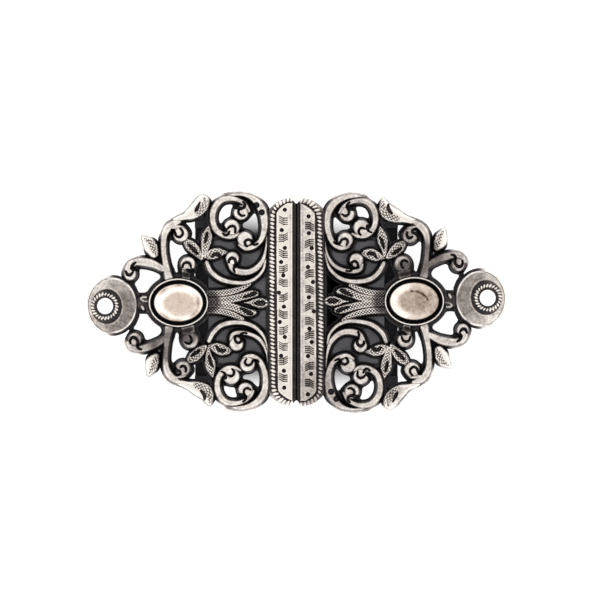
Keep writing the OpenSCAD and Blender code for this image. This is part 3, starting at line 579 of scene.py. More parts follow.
def lay_scrolls(r):
    """The stems with their pearls, the setting's collar, the webs and the neck."""
    for rows in STEMS:
        r.stem(rows, SCROLL_H, 0.4)
    for x, y, radius in PEARLS:
        r.pearl(x, y, radius)
    # Near the setting the stems sink into its dark collar
    turn = np.arctan2(r.Y, r.X - SETTING_AT[0])
    radius = RIM_RX * RIM_RY / np.hypot(RIM_RY * np.cos(turn), RIM_RX * np.sin(turn))
    gap = (oval_share(r.X, r.Y, SETTING_AT, RIM_RX, RIM_RY) - 1) * radius
    sinks = (np.abs(r.Y) > SINK_Y) & (r.X > SINK_X)
    r.z = np.where(sinks, r.z * (0.7 + 0.3 * ease(gap, 0.2, 1.3)), r.z)
    r.lay(WHOLE, COLLAR_H + 0 * gap, gap - COLLAR_W, 0.12 + 0 * gap)
    for rows in WEBS:
        w, gap, *_ = r.near(rows, 1.0)
        r.lay(w, WEB_H + 0 * gap, gap, 0 * gap)
    r.stem(NECK, NECK_H, 0.2)
    r.worn = np.where((r.X < NECK[-1][0]) & (np.abs(r.Y - NECK[0][1]) < 1.9), 0.2, r.worn)
    for rows in NECK_MARKS:
        r.stem(rows, NECK_MARK_H, 0.3)


def lay_leaves(r):
    """The leaves and the palmette."""
    for ground, where, rows in LEAVES:
        r.stem(rows, LEAF_H, 0.35, ground, where)


def open_air():
    """A coarse grid of all the metal of a casting, and how close the open air round it is, far and near."""
    r = Relief(CASTING_WINDOW, COARSE)
    lay_scrolls(r)
    lay_leaves(r)
    disc = (oval_share(r.X, r.Y, DISC_AT, DISC_RX, DISC_RY) - 1) * DISC_RX
    bar = np.maximum(-BAR_OUT - r.X, np.abs(r.Y) - BAR_HALF - ROPE_BED)
    for out in (disc, bar):
        r.lay(WHOLE, 1 + 0 * out, out, 0 * out)
    sea = r.outside()
    return r, blur(sea, 11), blur(sea, 5)


def rub_and_paint_light(r, air):
    """Wears a relief and paints light and shade on it. Valleys are blackened, and painted shade lies in spots
    and deep inside the scrolls, so crowns beside the open air are the brightest. The outer outline is
    finished closer than the openings, and gets painted light down to its foot."""
    grid, far, near = air
    # Painted shade in spots
    for x, y, radius, share in SHADE_SPOTS:
        r.worn *= 1 - (1 - share) * ease(oval_share(r.X, r.Y, (x, y), radius, radius), 1.0, 0.5)
    r.valleys(0.7)
    # Painted shade deep inside the scrolls, away from the open air
    r.worn *= INNER_SHADE + (1 - INNER_SHADE) * np.clip(2 * grid.read(far, r.X, r.Y), 0, 1)
    # The outer outline is trimmed, and its flank gets painted light down to its foot
    edge = np.clip(3.2 * grid.read(near, r.X, r.Y) - 0.1, 0, 1)
    r.out = r.out + OUTER_TRIM * edge
    r.worn = np.maximum(r.worn, 0.85 * edge * ease(r.z, -0.3, 0.35))


def make_openwork(air):
    """The pierced scrollwork with its pearls."""
    r = Relief(CASTING_WINDOW, MEDIUM)
    lay_scrolls(r)
    for rows in COMMAS:
        r.cut(rows, 0.6, 1.3, 0.08)
    for x, y in RING_DOTS:
        r.cut(round_spot(x, y, RING_DOT_R), 0.5)
    rub_and_paint_light(r, air)
    return relief_mesh("left_openwork", r)


def make_foliage(air):
    """The leaves and the palmette, with their punched ground, on a finer grid than the stems."""
    r = Relief(CASTING_WINDOW, FINE)
    lay_leaves(r)
    for rows in SLOTS:
        r.cut(rows, 0.5, 1.35, 0.25)
    rub_and_paint_light(r, air)
    return relief_mesh("left_foliage", r, 0.02)


def bar_gap(r, x_out, x_in, y, corner, roundness):
    """How far outside a bar outline each point is. A roundness of 2 gives elliptic corners, and 1 gives
    straight cuts."""
    X, Y = r.X, np.abs(r.Y)
    u = np.clip((-x_out + corner[0] - X) / corner[0], 0, None)
    v = np.clip((Y - y + corner[1]) / corner[1], 0, None)
    cut = ((u ** roundness + v ** roundness) ** (1 / roundness) - 1) * np.minimum(*corner)
    straight = np.maximum(np.maximum(-x_out - X, X + x_in), Y - y)
    return np.where((u > 0) & (v > 0), np.maximum(cut, X + x_in), straight)


def chase_bar(r):
    """The punched dots and the groups of chased strokes on the bar's face."""
    for x, y in BAR_DOTS:
        r.cut(round_spot(x, y, BAR_DOT_R), 0.5, tone=0.08)
    for y, way in BAR_STROKES:
        # The face is a touch darker round a group, and each of its strokes is forked
        r.worn *= 1 - 0.05 * np.exp(-((r.Y - y) / 0.9) ** 4) * (r.X < -1.3)
        for k in (-1.5, -0.5, 0.5, 1.5):
            v = y + STROKE_PITCH * k
            r.cut([(STROKE_X, v, .06), (STROKE_X - way * 0.68, v, .05)], 0.18, tone=0.24)
            r.cut([(STROKE_X, v, .055), (STROKE_X + way * 0.72, v + 0.38, .04)], 0.18, tone=0.24)


def make_bar():
    """The clasp bar: the bed of its roped edge, the chased face and the low flange beside the seam."""
    r = Relief(BAR_WINDOW, MEDIUM)
    X, Y = r.X, np.abs(r.Y)
    inner = SEAM_GAP + SEAM_FLANGE
    # The face's upper corner is cut less than its lower one, and the face narrows a little downwards
    face_corner = [np.where(r.Y > 0, up, low) for up, low in zip(FACE_CORNER_UP, FACE_CORNER)]
    face_out = np.minimum(FACE_OUT + 0.09 + 0.012 * r.Y, FACE_OUT + 0.15)
    face = bar_gap(r, face_out, inner - 0.02, BAR_HALF, face_corner, 1.3)
    # Outside the rope the bed is a low step, so that the scrolls show up to it. Its ends get a painted
    # highlight
    bed = bar_gap(r, BAR_OUT, inner, BAR_HALF + ROPE_BED, BED_CORNER, 1.75)
    step, ends = ease(X, *BED_STEP_X), ease(Y, *BED_END_Y)
    height = (BED_OUT_H + (GROOVE_H - BED_OUT_H) * np.maximum(step, ends)) * ease(bed, 0, -0.12)
    end_highlight = np.where(r.Y > 0, 0.4, 0.65) * ends * ease(face, 0.3, 0.5)
    r.lay(WHOLE, height, bed, 0.06 + 0.07 * step + end_highlight)
    # The flanges of the two halves all but meet in a narrow groove, with a faint rubbed line along each
    flange = bar_gap(r, FACE_OUT, SEAM_TOUCH, BAR_HALF - 0.1, FACE_CORNER, 1.3)
    tone = np.where(X > -inner, 0.02 + 0.16 * bell(X, -0.33, 0.1), 0.1) * (X < -SEAM_GAP)
    r.lay(WHOLE, np.where(X < -SEAM_GAP, FLANGE_H, SEAM_DEPTH), flange, tone)
    slope = 0.05 * (X + inner)
    r.lay(WHOLE, BAR_H + slope - 0.2 * ease(face, -0.2, 0), face, 1.1 * ease(face, 0.0, -0.1))
    chase_bar(r)
    # A thin line scribed beside the flange
    r.worn *= 1 - 0.35 * bell(X, -1.02, 0.06) * (Y < 15.2)
    return relief_mesh("left_clasp_bar", r, 0.01)


def disc_relief(x, y, outward, inward):
    """The end disc's height and wear. It is lighter towards +Y. Outward it gets painted light and a painted
    highlight, a white band between thin grey lines; inward it is a touch darker, with a thin painted
    highlight and then a black flank. The moat round the eyelet is dark."""
    out = oval_share(x, y, DISC_AT, DISC_RX, DISC_RY)
    moat_out = oval_share(x, y, MOAT_AT, MOAT_RX, MOAT_RY)
    line, moat = outward * bell(out, 0.884, 0.018), ease(moat_out, 1.02, 0.93)
    z = DISC_H * np.interp(out, *zip(*DISC_DOME))
    z = z + (np.minimum(z, MOAT_H) - z) * moat - 0.04 * line
    # Painted light outward, a touch of painted shade inward, and the white band of painted highlight outward
    tone = 0.52 + 0.17 * ease(y, 1.0, 2.8) + 0.22 * outward - 0.05 * inward
    tone = tone + (1 - tone) * outward * ease(out, 0.89, 0.91)
    # A thin painted highlight inward and a pale line by the moat, then the black flank
    tone = tone + inward * (0.7 * bell(out, 0.88, 0.025) + 0.2 * bell(moat_out, 1.07, 0.04))
    tone = tone * (1 - inward * ease(out, 0.9, 0.925)) - 0.42 * line
    beside_eyelet = ease(oval_share(x, y, EYELET_AT, 1, 1), 1.75, 1.5)
    floor_tone = (0.08 + 0.18 * outward) * (1 - 0.6 * beside_eyelet)
    return z, np.clip(tone + (floor_tone - tone) * moat, 0.02, 1)


def make_disc():
    """The end disc: a low dome with the sewing eyelet off its middle, in a sunk round moat."""
    sides, rings = 240, 90
    turn = np.linspace(0, 2 * math.pi, sides, endpoint=False)
    outward, inward = ease(-np.cos(turn), -0.2, 0.5), ease(np.cos(turn), -0.2, 0.3)
    rim, hole = oval(DISC_AT, DISC_RX, DISC_RY, sides), oval(EYELET_AT, EYELET_R, EYELET_R, sides)
    points, worn = [], []
    for t in np.linspace(0, 1, rings) ** 1.1:
        p = rim + (hole - rim) * t
        z, tone = disc_relief(*p.T, outward, inward)
        points.append(np.column_stack([p, BACK_Z + z]))
        worn.append(tone)
    for ring, tone in ((hole, 0), (rim, 0.3)):
        points.append(np.column_stack([ring, np.full(sides, BACK_Z + 0.03)]))
        worn.append(np.full(sides, tone))
    faces = bridge([*range(len(points)), 0], sides)
    return make_mesh("left_end_disc", np.vstack(points), faces, np.concatenate(worn))


def make_bezel():
    """The oval setting: a dark collar, a thin bright rim and the dark channel that the stone sits in."""
    rows = [(RIM_RX + more, RIM_RY + more, z, w) for more, z, w in (
        (0.4, 0.04, .05), (0.4, 0.5, .08), (0.02, RIM_H - 0.9, .1), (0, RIM_H - 0.16, .15),
        (-0.03, RIM_H - 0.04, .9), (-0.08, RIM_H, 1), (-0.15, RIM_H, 1), (-0.2, RIM_H - 0.04, .9),
        (-0.24, RIM_H - 0.25, 0))]
    rows += [(STONE_RX + more, STONE_RY + more, z, 0) for more, z in (
        (0.12, RIM_H - 0.9), (0.06, SEAT_H + 0.2), (0.06, SEAT_H))]
    return oval_loft("left_setting", SETTING_AT, rows, 192)


def make_stone():
    """The cabochon: a short girdle and a smooth dome."""
    girdle = RIM_H - 0.55
    rows = [(STONE_RX, STONE_RY, z, .5) for z in (SEAT_H + FIT_GAP, girdle - 0.05)]
    for a in np.linspace(0, 0.985, 56) * math.pi / 2:
        rows.append((STONE_RX * math.cos(a), STONE_RY * math.cos(a), girdle + STONE_DOME * math.sin(a), .5))
    return oval_loft("left_stone", SETTING_AT, rows, 240)


def left_stone_tone(x, y, out, turn):
    """The left stone is a darker tan in an oval on its crown, darker again along one side of that oval's
    edge, and smudged near its edge.
    """
    crown = oval_share(x, y, (0.2, -0.2), 2.5, 1.9)
    tone = 1 - 0.47 * ease(crown, 1.3, 0.85)
    tone -= 0.13 * bell(crown, 0.95, 0.15) * ease(np.cos(turn + math.radians(60)), 0.3, 0.9)
    for degrees, share in SMUDGES:
        tone -= 0.75 * np.exp((np.cos(turn - math.radians(degrees)) - 1) * 14) * bell(out, share, 0.1)
    return tone


def right_stone_tone(x, y, out, turn):
    """The right stone is painted darker all over as shade, with a painted highlight in a band on the side of
    the seam, lighter edges above and below, and a dark scratch.
    """
    tone = 0.27 - 0.05 * ease(np.cos(turn), 0.2, 0.9)
    tone += 0.5 * ease(out, 0.52, 0.75) * ease(-np.cos(turn), 0.0, 0.7)
    tone += 0.14 * ease(out, 0.6, 0.8) * ease(np.abs(np.sin(turn)), 0.4, 0.9)
    far = np.full(x.shape, FAR)
    for (x0, y0), (x1, y1) in zip(SCRATCH, SCRATCH[1:]):
        dx, dy = x1 - x0, y1 - y0
        t = np.clip(((x - x0) * dx + (y - y0) * dy) / (dx * dx + dy * dy), 0, 1)
        far = np.minimum(far, np.hypot(x - x0 - t * dx, y - y0 - t * dy))
    return tone - 0.34 * bell(far, 0, 0.13 + 0.1 * bell(x, SCRATCH[2][0], 0.5))


def stone_wear_and_painted_light(mesh, side):
    """Gives a stone its tones, with painted light and shade on the right one."""
    way, tone = (-1, right_stone_tone) if side == "right" else (1, left_stone_tone)
    _, x, y = get_wear_and_light(mesh)
    x, y = x - way * SETTING_AT[0], y - way * SETTING_AT[1]
    set_wear_and_light(mesh, np.clip(tone(x, y, oval_share(x, y, (0, 0), STONE_RX, STONE_RY), np.arctan2(y, x)), 0, 1))


def paint_light_and_shade(mesh, share, spots):
    """Paints light and shade on a mesh by scaling its wear, all over and in spots."""
    worn, x, y = get_wear_and_light(mesh)
    for *middle, radius, part in spots:
        worn *= 1 - (1 - part) * ease(oval_share(x, y, middle, radius, radius), 1.0, 0.4)
    set_wear_and_light(mesh, worn * share)


# Geometry Nodes

def colour(code):
    """An sRGB hex colour as linear RGBA."""
    rgb = (int(code[i:i + 2], 16) / 255 for i in (1, 3, 5))
    return (*(c / 12.92 if c <= 0.04045 else ((c + 0.055) / 1.055) ** 2.4 for c in rgb), 1.0)


def put(tree, kind, inputs=None, stops=(), **settings):
    """Adds a node with its settings, and with its stops if it is a colour ramp. An input is a value, or a
    socket, or a node, whose first output feeds it, or a list of nodes."""
    made = tree.nodes.new(kind)
    for name, value in settings.items():
        setattr(made, name, value)
    for key, value in (inputs or {}).items():
        for source in value if isinstance(value, list) else [value]:
            source = source.outputs[0] if isinstance(source, bpy.types.Node) else source
            if isinstance(source, bpy.types.NodeSocket):
                tree.links.new(source, made.inputs[key])
            else:
                made.inputs[key].default_value = source
    for i, (at, code) in enumerate(stops):
        band = made.color_ramp.elements
        stop = band[i] if i < len(band) else band.new(at)
        stop.position = at
        stop.color = colour(code)
    return made


def new_group(name, inputs):
    """An empty geometry tree with named inputs: name, socket type and default. Lengths are in metres."""
    tree = bpy.data.node_groups.new(name, "GeometryNodeTree")
    face = tree.interface
    face.new_socket("Geometry", in_out="INPUT", socket_type="NodeSocketGeometry")
    for label, kind, default in inputs:
        made = face.new_socket(label, in_out="INPUT", socket_type="NodeSocket" + kind)
        if default is not None:
            made.default_value = default
    face.new_socket("Geometry", in_out="OUTPUT", socket_type="NodeSocketGeometry")
    return tree, put(tree, "NodeGroupInput").outputs


def end_group(tree, worn_parts, material):
    """Ends a tree: its parts, each with its wear, are joined, smoothed, realized and given their material."""
    parts = []
    for geometry, worn in worn_parts:
        real = put(tree, "GeometryNodeRealizeInstances", {0: geometry})
        parts.append(put(tree, "GeometryNodeStoreNamedAttribute",
                         {"Geometry": real, "Name": "worn", "Value": worn},
                         data_type="FLOAT", domain="POINT"))
    soft = put(tree, "GeometryNodeSetShadeSmooth", {0: put(tree, "GeometryNodeJoinGeometry", {0: parts})})
    real = put(tree, "GeometryNodeRealizeInstances", {0: soft})
    put(tree, "NodeGroupOutput", {0: put(tree, "GeometryNodeSetMaterial", {0: real, "Material": material})})


def apply_group(ob, tree, values):
    """Runs a tree on an object with its inputs set by identifier, and keeps the result as a plain mesh."""
    mod = ob.modifiers.new(tree.name, "NODES")
    mod.node_group = tree
    for item in tree.interface.items_tree:
        if item.item_type == "SOCKET" and item.in_out == "INPUT" and item.name in values:
            mod[item.identifier] = values[item.name]
    bpy.context.view_layer.update()
    mesh = bpy.data.meshes.new_from_object(ob.evaluated_get(bpy.context.evaluated_depsgraph_get()))
    name = ob.name
    mesh.name = name
    bpy.data.objects.remove(ob)
    return add_object(name, mesh)


def twist_tree():
    """Slanted twists laid along a curve, over a thin core: a soldered rope wire."""
    tree, g = new_group("Twisted rope", [
        ("Pitch", "Float", 0.6 * MM), ("Twist length", "Float", 0.5 * MM), ("Twist width", "Float", 0.2 * MM),
        ("Twist height", "Float", 0.4 * MM), ("Slant", "Float", 0.5), ("Unevenness", "Float", 0.15),
        ("Seed", "Int", 3), ("Core radius", "Float", 0.3 * MM), ("Core drop", "Float", 0.1 * MM),
        ("Material", "Material", None)])
    # Each twist is a bead, turned to the curve and leaning by the slant, as long as the curve's radius says
    facing = put(tree, "FunctionNodeAxesToRotation",
                 {0: (0.0, 0.0, 1.0), 1: put(tree, "GeometryNodeInputTangent")},
                 primary_axis="Z", secondary_axis="Y")
    line = put(tree, "GeometryNodeStoreNamedAttribute",
               {"Geometry": g["Geometry"], "Name": "facing", "Value": facing},
               data_type="QUATERNION", domain="POINT")
    points = put(tree, "GeometryNodeCurveToPoints", {"Curve": line, "Length": g["Pitch"]}, mode="LENGTH")
    bead = put(tree, "GeometryNodeMeshUVSphere", {"Segments": 12, "Rings": 8, "Radius": 1.0})
    length = put(tree, "ShaderNodeMath", {0: g["Twist length"], 1: put(tree, "GeometryNodeInputRadius")},
                 operation="MULTIPLY")
    size = put(tree, "ShaderNodeCombineXYZ", {0: length, 1: g["Twist width"], 2: g["Twist height"]})
    low, high = (put(tree, "ShaderNodeMath", {0: 1.0, 1: g["Unevenness"]}, operation=sign)
                 for sign in ("SUBTRACT", "ADD"))
    uneven = put(tree, "FunctionNodeRandomValue", {2: low, 3: high, "Seed": g["Seed"]}, data_type="FLOAT")
    size = put(tree, "ShaderNodeVectorMath", {0: size, 1: uneven.outputs[1]}, operation="MULTIPLY")
    slant = put(tree, "FunctionNodeEulerToRotation", {0: put(tree, "ShaderNodeCombineXYZ", {2: g["Slant"]})})
    lean = put(tree, "FunctionNodeRotateRotation",
               {0: put(tree, "GeometryNodeInputNamedAttribute", {"Name": "facing"}, data_type="QUATERNION"),
                1: slant}, rotation_space="LOCAL")
    twists = put(tree, "GeometryNodeInstanceOnPoints",
                 {"Points": points, "Instance": bead, "Rotation": lean, "Scale": size})
    # The core runs a little lower, and is dark
    ring = put(tree, "GeometryNodeCurvePrimitiveCircle", {"Resolution": 12, "Radius": g["Core radius"]})
    even = put(tree, "GeometryNodeSetCurveRadius", {0: g["Geometry"], "Radius": 1.0})
    core = put(tree, "GeometryNodeCurveToMesh", {0: even, 1: ring, "Fill Caps": True})
    drop = put(tree, "ShaderNodeMath", {0: g["Core drop"], 1: -1.0}, operation="MULTIPLY")
    core = put(tree, "GeometryNodeTransform",
               {"Geometry": core, "Translation": put(tree, "ShaderNodeCombineXYZ", {2: drop})})
    end_group(tree, [(core, 0.05), (twists, 1.0)], g["Material"])
    return tree


def rivet_tree():
    """A peened rivet on each point, as tall as its sheet needs."""
    tree, g = new_group("Peened rivets", [
        ("Shank radius", "Float", PEG_R * MM), ("Head radius", "Float", PEG_HEAD_R * MM),
        ("Head height", "Float", PEG_HEAD_T * MM), ("Material", "Material", None)])
    hang = put(tree, "GeometryNodeInputNamedAttribute", {"Name": "hang"}, data_type="FLOAT")
    shank = put(tree, "GeometryNodeMeshCylinder", {"Vertices": 24, "Radius": g["Shank radius"], "Depth": 1.0})
    shank = put(tree, "GeometryNodeTransform", {"Geometry": shank, "Translation": (0, 0, 0.5)})
    ball = put(tree, "GeometryNodeMeshUVSphere", {"Segments": 24, "Rings": 12, "Radius": 1.0})
    tall = put(tree, "ShaderNodeCombineXYZ", {0: 1.0, 1: 1.0, 2: hang})
    flat = put(tree, "ShaderNodeCombineXYZ", {0: g["Head radius"], 1: g["Head radius"], 2: g["Head height"]})
    shanks, heads = (put(tree, "GeometryNodeInstanceOnPoints",
                         {"Points": g["Geometry"], "Instance": form, "Scale": size})
                     for form, size in ((shank, tall), (ball, flat)))
    end_group(tree, [(shanks, 0.2), (heads, 0.2)], g["Material"])
    return tree


def curve_object(name, points, closed):
    """A curve through points in millimetres, with a scale at each, for a tree to work on."""
    data = bpy.data.curves.new(name, "CURVE")
    data.dimensions = "3D"
    line = data.splines.new("POLY")
    line.points.add(len(points) - 1)
    for p, (x, y, z, scale) in zip(line.points, points):
        p.co = (x * MM, y * MM, z * MM, 1)
        p.radius = scale
    line.use_cyclic_u = closed
    return add_object(name, data)


def make_rope(name, points, closed, tree, material, pitch, sizes):
    """A roped edge: twist length, width and height, and the core's radius and drop, all in millimetres."""
    names = ("Twist length", "Twist width", "Twist height", "Core radius", "Core drop")
    values = {label: size * MM for label, size in zip(names, sizes)}
    return apply_group(curve_object(name, points, closed), tree, {
        "Pitch": pitch * MM, "Slant": ROPE_SLANT, "Material": material, **values})


def make_roped_edge(tree, material):
    """The roped edge on the bar's bed."""
    points = [(x, y, BACK_Z + ROPE_Z, scale) for x, y, scale in smooth(ROPE_LINE, 0.2)]
    ob = make_rope("left_roped_edge", points, False, tree, material, ROPE_PITCH, ROPE_SIZES)
    # Handling has rubbed its ends bright, also between the twists
    worn, _, y = get_wear_and_light(ob.data)
    set_wear_and_light(ob.data, np.maximum(worn, 0.5 * ease(np.abs(y), *ROPE_END_Y)))
    return ob


def make_roped_ring(tree, material):
    """The roped ring round the eyelet."""
    points = [(x, y, BACK_Z + MOAT_H + 0.1, 1.0)
              for x, y in oval(ROPE_RING_AT, ROPE_RING_R, ROPE_RING_R, 96)]
    pitch = 2 * math.pi * ROPE_RING_R / RING_TWISTS
    return make_rope("left_roped_ring", points, True, tree, material, pitch, RING_SIZES)


def make_rivets(material):
    """The peened ends of the pegs that hold the sheet and the belt bar."""
    rows = [(x, y, thick + 2 * FIT_GAP) for pegs, thick in ((PLATE_PEGS, PLATE_T), (FOOT_PEGS, FOOT_T))
            for x, y in pegs]
    mesh = bpy.data.meshes.new("left_rivets")
    mesh.from_pydata([(x * MM, y * MM, (BACK_Z - deep) * MM) for x, y, deep in rows], [], [])
    # Each shank reaches a little into the casting
    hang = mesh.attributes.new("hang", "FLOAT", "POINT")
    hang.data.foreach_set("value", [(deep + 0.1) * MM for _, _, deep in rows])
    return apply_group(add_object("left_rivets", mesh), rivet_tree(), {"Material": material})


# Materials

def new_material(name):
    """An empty material and its tree."""
    finish = bpy.data.materials.new(name)
    finish.use_nodes = True
    finish.node_tree.nodes.clear()
    return finish, finish.node_tree


def antique_silver():
    """Silver plate on cast zinc, oxidised and rubbed back: the recesses keep a near-black sulphide bloom,
    and the crowns are bare silver with a soft, slightly warm shine and faint grey clouding."""
    finish, tree = new_material("antique_silver_rubbed")
    at = put(tree, "ShaderNodeTexCoord").outputs["Object"]
    worn = put(tree, "ShaderNodeAttribute", attribute_name="worn").outputs["Fac"]
    # Clouds of tarnish 1.2 mm across, and rubbing marks of 0.35 mm
    cloud, fleck = (put(tree, "ShaderNodeTexNoise", {
        "Vector": at, "Scale": 1 / (size * MM), "Detail": detail, "Roughness": 0.6}).outputs["Fac"]
        for size, detail in ((1.2, 4.0), (0.35, 3.0)))
    clouds, flecks = (put(tree, "ShaderNodeMath", {0: noise, 1: -0.5}, operation="ADD")
                      for noise in (cloud, fleck))
    clouds = put(tree, "ShaderNodeMath", {0: clouds, 1: 0.85}, operation="MULTIPLY")
    mottle = put(tree, "ShaderNodeMath", {0: flecks, 1: 0.85, 2: clouds}, operation="MULTIPLY_ADD")
    # The black bloom is even, and the rubbed metal is mottled
    much = put(tree, "ShaderNodeMath", {0: worn, 1: 0.65, 2: 0.35}, operation="MULTIPLY_ADD")
    tone = put(tree, "ShaderNodeMath", {0: mottle, 1: much, 2: worn}, operation="MULTIPLY_ADD",
               use_clamp=True)
    tint = put(tree, "ShaderNodeValToRGB", {0: tone}, [
        (0.0, "#363437"), (0.2, "#4c4747"), (0.45, "#8b837f"), (0.75, "#d0c9c4"), (1.0, "#fcf7f1")])
    rough = put(tree, "ShaderNodeMapRange", {0: tone, 3: 0.55, 4: 0.33})
    dent = put(tree, "ShaderNodeBump", {"Height": fleck, "Strength": 0.25, "Distance": 0.03 * MM})
    metal = put(tree, "ShaderNodeBsdfPrincipled", {
        "Base Color": tint, "Metallic": 1.0, "Roughness": rough, "Normal": dent})
    put(tree, "ShaderNodeOutputMaterial", {0: metal})
    return finish


def silvered_cabochon():
    """A silvered dome, tumbled smooth: bright, with a fine grain and small pits near its edge."""
    finish, tree = new_material("silvered_cabochon_tumbled")
    at = put(tree, "ShaderNodeTexCoord").outputs["Object"]
    worn = put(tree, "ShaderNodeAttribute", attribute_name="worn").outputs["Fac"]
    # Pits and smudges of 0.6 mm, where the plating is thin
    grain = put(tree, "ShaderNodeTexNoise", {
        "Vector": at, "Scale": 1 / (0.6 * MM), "Detail": 5.0, "Roughness": 0.65}).outputs["Fac"]
    tone = put(tree, "ShaderNodeMath", {0: grain, 1: -0.5}, operation="ADD")
    tone = put(tree, "ShaderNodeMath", {0: tone, 1: 0.75, 2: worn}, operation="MULTIPLY_ADD")
    tint = put(tree, "ShaderNodeValToRGB", {0: tone}, [
        (0.0, "#4a413b"), (0.17, "#ae9c8f"), (0.3, "#c9bbaf"), (0.55, "#eddbce"), (0.8, "#fcf8ee"),
        (1.0, "#fffefa")])
    dent = put(tree, "ShaderNodeBump", {"Height": grain, "Strength": 0.3, "Distance": 0.04 * MM})
    metal = put(tree, "ShaderNodeBsdfPrincipled", {
        "Base Color": tint, "Metallic": 1.0, "Roughness": 0.2, "Normal": dent})
    put(tree, "ShaderNodeOutputMaterial", {0: metal})
    return finish


def gunmetal_steel(name, codes, roughness, painted_shade_from=None):
    """Blackened steel strip, rolled: fine marks along X, dull and dark, a little uneven in tone. From the X
    given by its last argument onward, it is painted near black as shade."""
    finish, tree = new_material(name)
    at = put(tree, "ShaderNodeTexCoord").outputs["Object"]
    lay = put(tree, "ShaderNodeMapping", {"Vector": at, "Scale": (0.12, 1.0, 1.0)})
    # Rolling marks 0.15 mm apart, and clouds of 3 mm
    marks, cloud = (put(tree, "ShaderNodeTexNoise", {
        "Vector": place, "Scale": 1 / (size * MM), "Detail": 3.0}).outputs["Fac"]
        for place, size in ((lay, 0.15), (at, 3.0)))
    tone = put(tree, "ShaderNodeMath", {0: marks, 1: 0.4, 2: cloud}, operation="MULTIPLY_ADD")
    tint = put(tree, "ShaderNodeValToRGB", {0: tone}, [(0.45, codes[0]), (0.9, codes[1])])
    if painted_shade_from is not None:
        # Painted shade: near black from that X onward, where the tongue lies under the keeper
        x = put(tree, "ShaderNodeSeparateXYZ", {0: at})
        black = put(tree, "ShaderNodeMapRange", {0: x, 1: painted_shade_from * MM, 2: (painted_shade_from + 1) * MM})
        mix = put(tree, "ShaderNodeMix", {0: black, 6: tint, 7: colour("#0c0c0d")}, data_type="RGBA")
        tint = mix.outputs[2]
    dent = put(tree, "ShaderNodeBump", {"Height": marks, "Strength": 0.15, "Distance": 0.02 * MM})
    metal = put(tree, "ShaderNodeBsdfPrincipled", {
        "Base Color": tint, "Metallic": 1.0, "Roughness": roughness, "Normal": dent})
    put(tree, "ShaderNodeOutputMaterial", {0: metal})
    return finish


def painted_glow_sheet():
    """Matt white acrylic sheet with a painted glow, so that it stays white in the openings. Near the seam it
    carries a painted shadow of the two plates, and in the keeper's slot it is painted black."""
    finish, tree = new_material("white_acrylic_light_table")
    at = put(tree, "ShaderNodeTexCoord").outputs["Object"]
    x, y, _ = put(tree, "ShaderNodeSeparateXYZ", {0: at}).outputs
    along, across = (put(tree, "ShaderNodeMath", {0: place}, operation="ABSOLUTE") for place in (x, y))
    # Behind the long axis the painted shade is a little narrower on the right and wider on the left
    behind = put(tree, "ShaderNodeMapRange", {0: y, 1: 0.0, 2: 8 * MM, 3: 0.0, 4: 0.09})
    across = put(tree, "ShaderNodeMath", {0: x, 1: behind, 2: across}, operation="MULTIPLY_ADD")
    # The painted glow starts beyond the sheets' long edges and away from the seam; nearer in, it is painted
    # shade
    painted_lit, away = (put(tree, "ShaderNodeMapRange", {0: place, 1: lo * MM, 2: hi * MM, 3: 0.0, 4: 0.8},
                     interpolation_type="SMOOTHSTEP")
                 for place, lo, hi in ((across, 9.9, 14.2), (along, 9.5, 11)))
    painted_glow = put(tree, "ShaderNodeMath", {0: painted_lit, 1: away}, operation="MAXIMUM")
    # Painted shadow: the sheet is near black where the glow is low, under the plates and in the keeper's slot
    tint = put(tree, "ShaderNodeValToRGB", {0: painted_glow}, [(0.0, "#050506"), (0.2, "#d8d8da")])
    sheet = put(tree, "ShaderNodeBsdfPrincipled", {
        "Base Color": tint, "Roughness": 0.9, "Specular IOR Level": 0.0, "Emission Color": colour("#ffffff"),
        "Emission Strength": painted_glow})
    put(tree, "ShaderNodeOutputMaterial", {0: sheet})
    return finish


# The two halves

def dress_halves():
    """Makes the left half's pieces and turns a copy of each for the right half."""
    silver = antique_silver()
    air = open_air()
    castings = [make_openwork(air), make_foliage(air), make_bar(), make_disc(), make_bezel()]
    stone = make_stone()
    for ob in castings:
        ob.data.materials.append(silver)
    stone.data.materials.append(silvered_cabochon())
    twists = twist_tree()
    castings += [make_roped_edge(twists, silver), make_roped_ring(twists, silver), make_rivets(silver)]
    for piece in castings + [stone]:
        other = add_object(piece.name.replace("left_", "right_"), piece.data.copy())
        other.data.name = other.name
        other.data.transform(Matrix.Rotation(math.pi, 4, "Z"))
        # The right half gets painted shade, darker all over and in spots, and its disc a touch of painted
        # light
        paint_light_and_shade(other.data, RIGHT_LIGHT_SHARE.get(piece.name, 1.0), RIGHT_SHADE_SPOTS)
        node, slot = ("cabochon", "cabochon") if piece is stone else ("casting", "antique_silver")
        for ob, side in ((piece, "left"), (other, "right")):
            if piece is stone:
                stone_wear_and_painted_light(ob.data, side)
            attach(ob, "root")
            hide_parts(f"{side}_{node}")


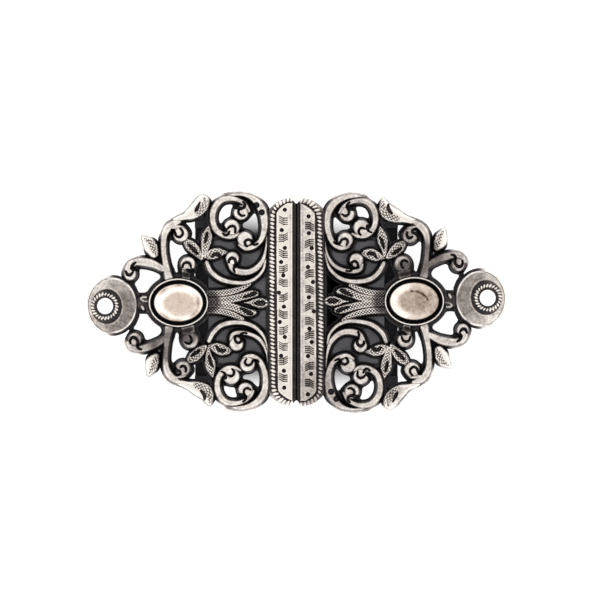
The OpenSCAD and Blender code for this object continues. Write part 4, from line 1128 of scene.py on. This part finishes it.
def dress_steel():
    """Gives the CAD sheets and belt bars their finishes. The hook's tongue is painted near black as shade,
    from 1 mm past the seam."""
    sheet_codes = ("#4e4e52", "#706f73")
    hook = gunmetal_steel("gunmetal_steel_hook", sheet_codes, 0.5, painted_shade_from=1)
    keeper = gunmetal_steel("gunmetal_steel_plate", sheet_codes, 0.5)
    bar = gunmetal_steel("blackened_steel_bar", ("#29292c", "#3a3a3e"), 0.55)
    for name, finish in (("hook_plate", hook), ("keeper_plate", keeper), ("left_belt_bar", bar),
                         ("right_belt_bar", bar)):
        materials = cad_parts[name].data.materials
        materials.clear()
        materials.append(finish)


# The studio

def lay_floor():
    """The sheet that the clasp lies on, 2 m square."""
    mesh = bpy.data.meshes.new("floor")
    mesh.from_pydata([(-1, -1, 0), (1, -1, 0), (1, 1, 0), (-1, 1, 0)], [], [(0, 1, 2, 3)])
    mesh.materials.append(painted_glow_sheet())
    add_object("floor", mesh)


def light_studio():
    """White light from all round, a little warmer and dimmer from a soft patch straight above."""
    world = bpy.data.worlds.new("studio")
    bpy.context.scene.world = world
    world.use_nodes = True
    tree = world.node_tree
    tree.nodes.clear()
    way = put(tree, "ShaderNodeTexCoord").outputs["Generated"]
    up = put(tree, "ShaderNodeSeparateXYZ", {0: way}).outputs["Z"]
    patch = put(tree, "ShaderNodeMapRange", {0: up, 1: 0.84, 2: 0.92, 3: 0.0, 4: 1.0},
                interpolation_type="SMOOTHSTEP")
    sky = put(tree, "ShaderNodeMix", {0: patch, 6: colour("#ffffff"), 7: colour("#e3e0db")}, data_type="RGBA")
    put(tree, "ShaderNodeOutputWorld", {0: put(tree, "ShaderNodeBackground", {0: sky.outputs[2], 1: 1.1})})


def place_camera():
    """The camera looks straight down, as in the photograph."""
    cam = add_object("camera", bpy.data.cameras.new("camera"))
    cam.data.lens = cam.data.sensor_width * CAMERA_HEIGHT / VIEW_WIDTH
    cam.data.clip_start = 0.01
    cam.location = [place * MM for place in (*CAMERA_AT, CAMERA_HEIGHT + FRONT_Z)]
    bpy.context.scene.camera = cam
    bpy.context.scene.view_settings.view_transform = "Standard"


dress_halves()
dress_steel()
lay_floor()
light_studio()
place_camera()
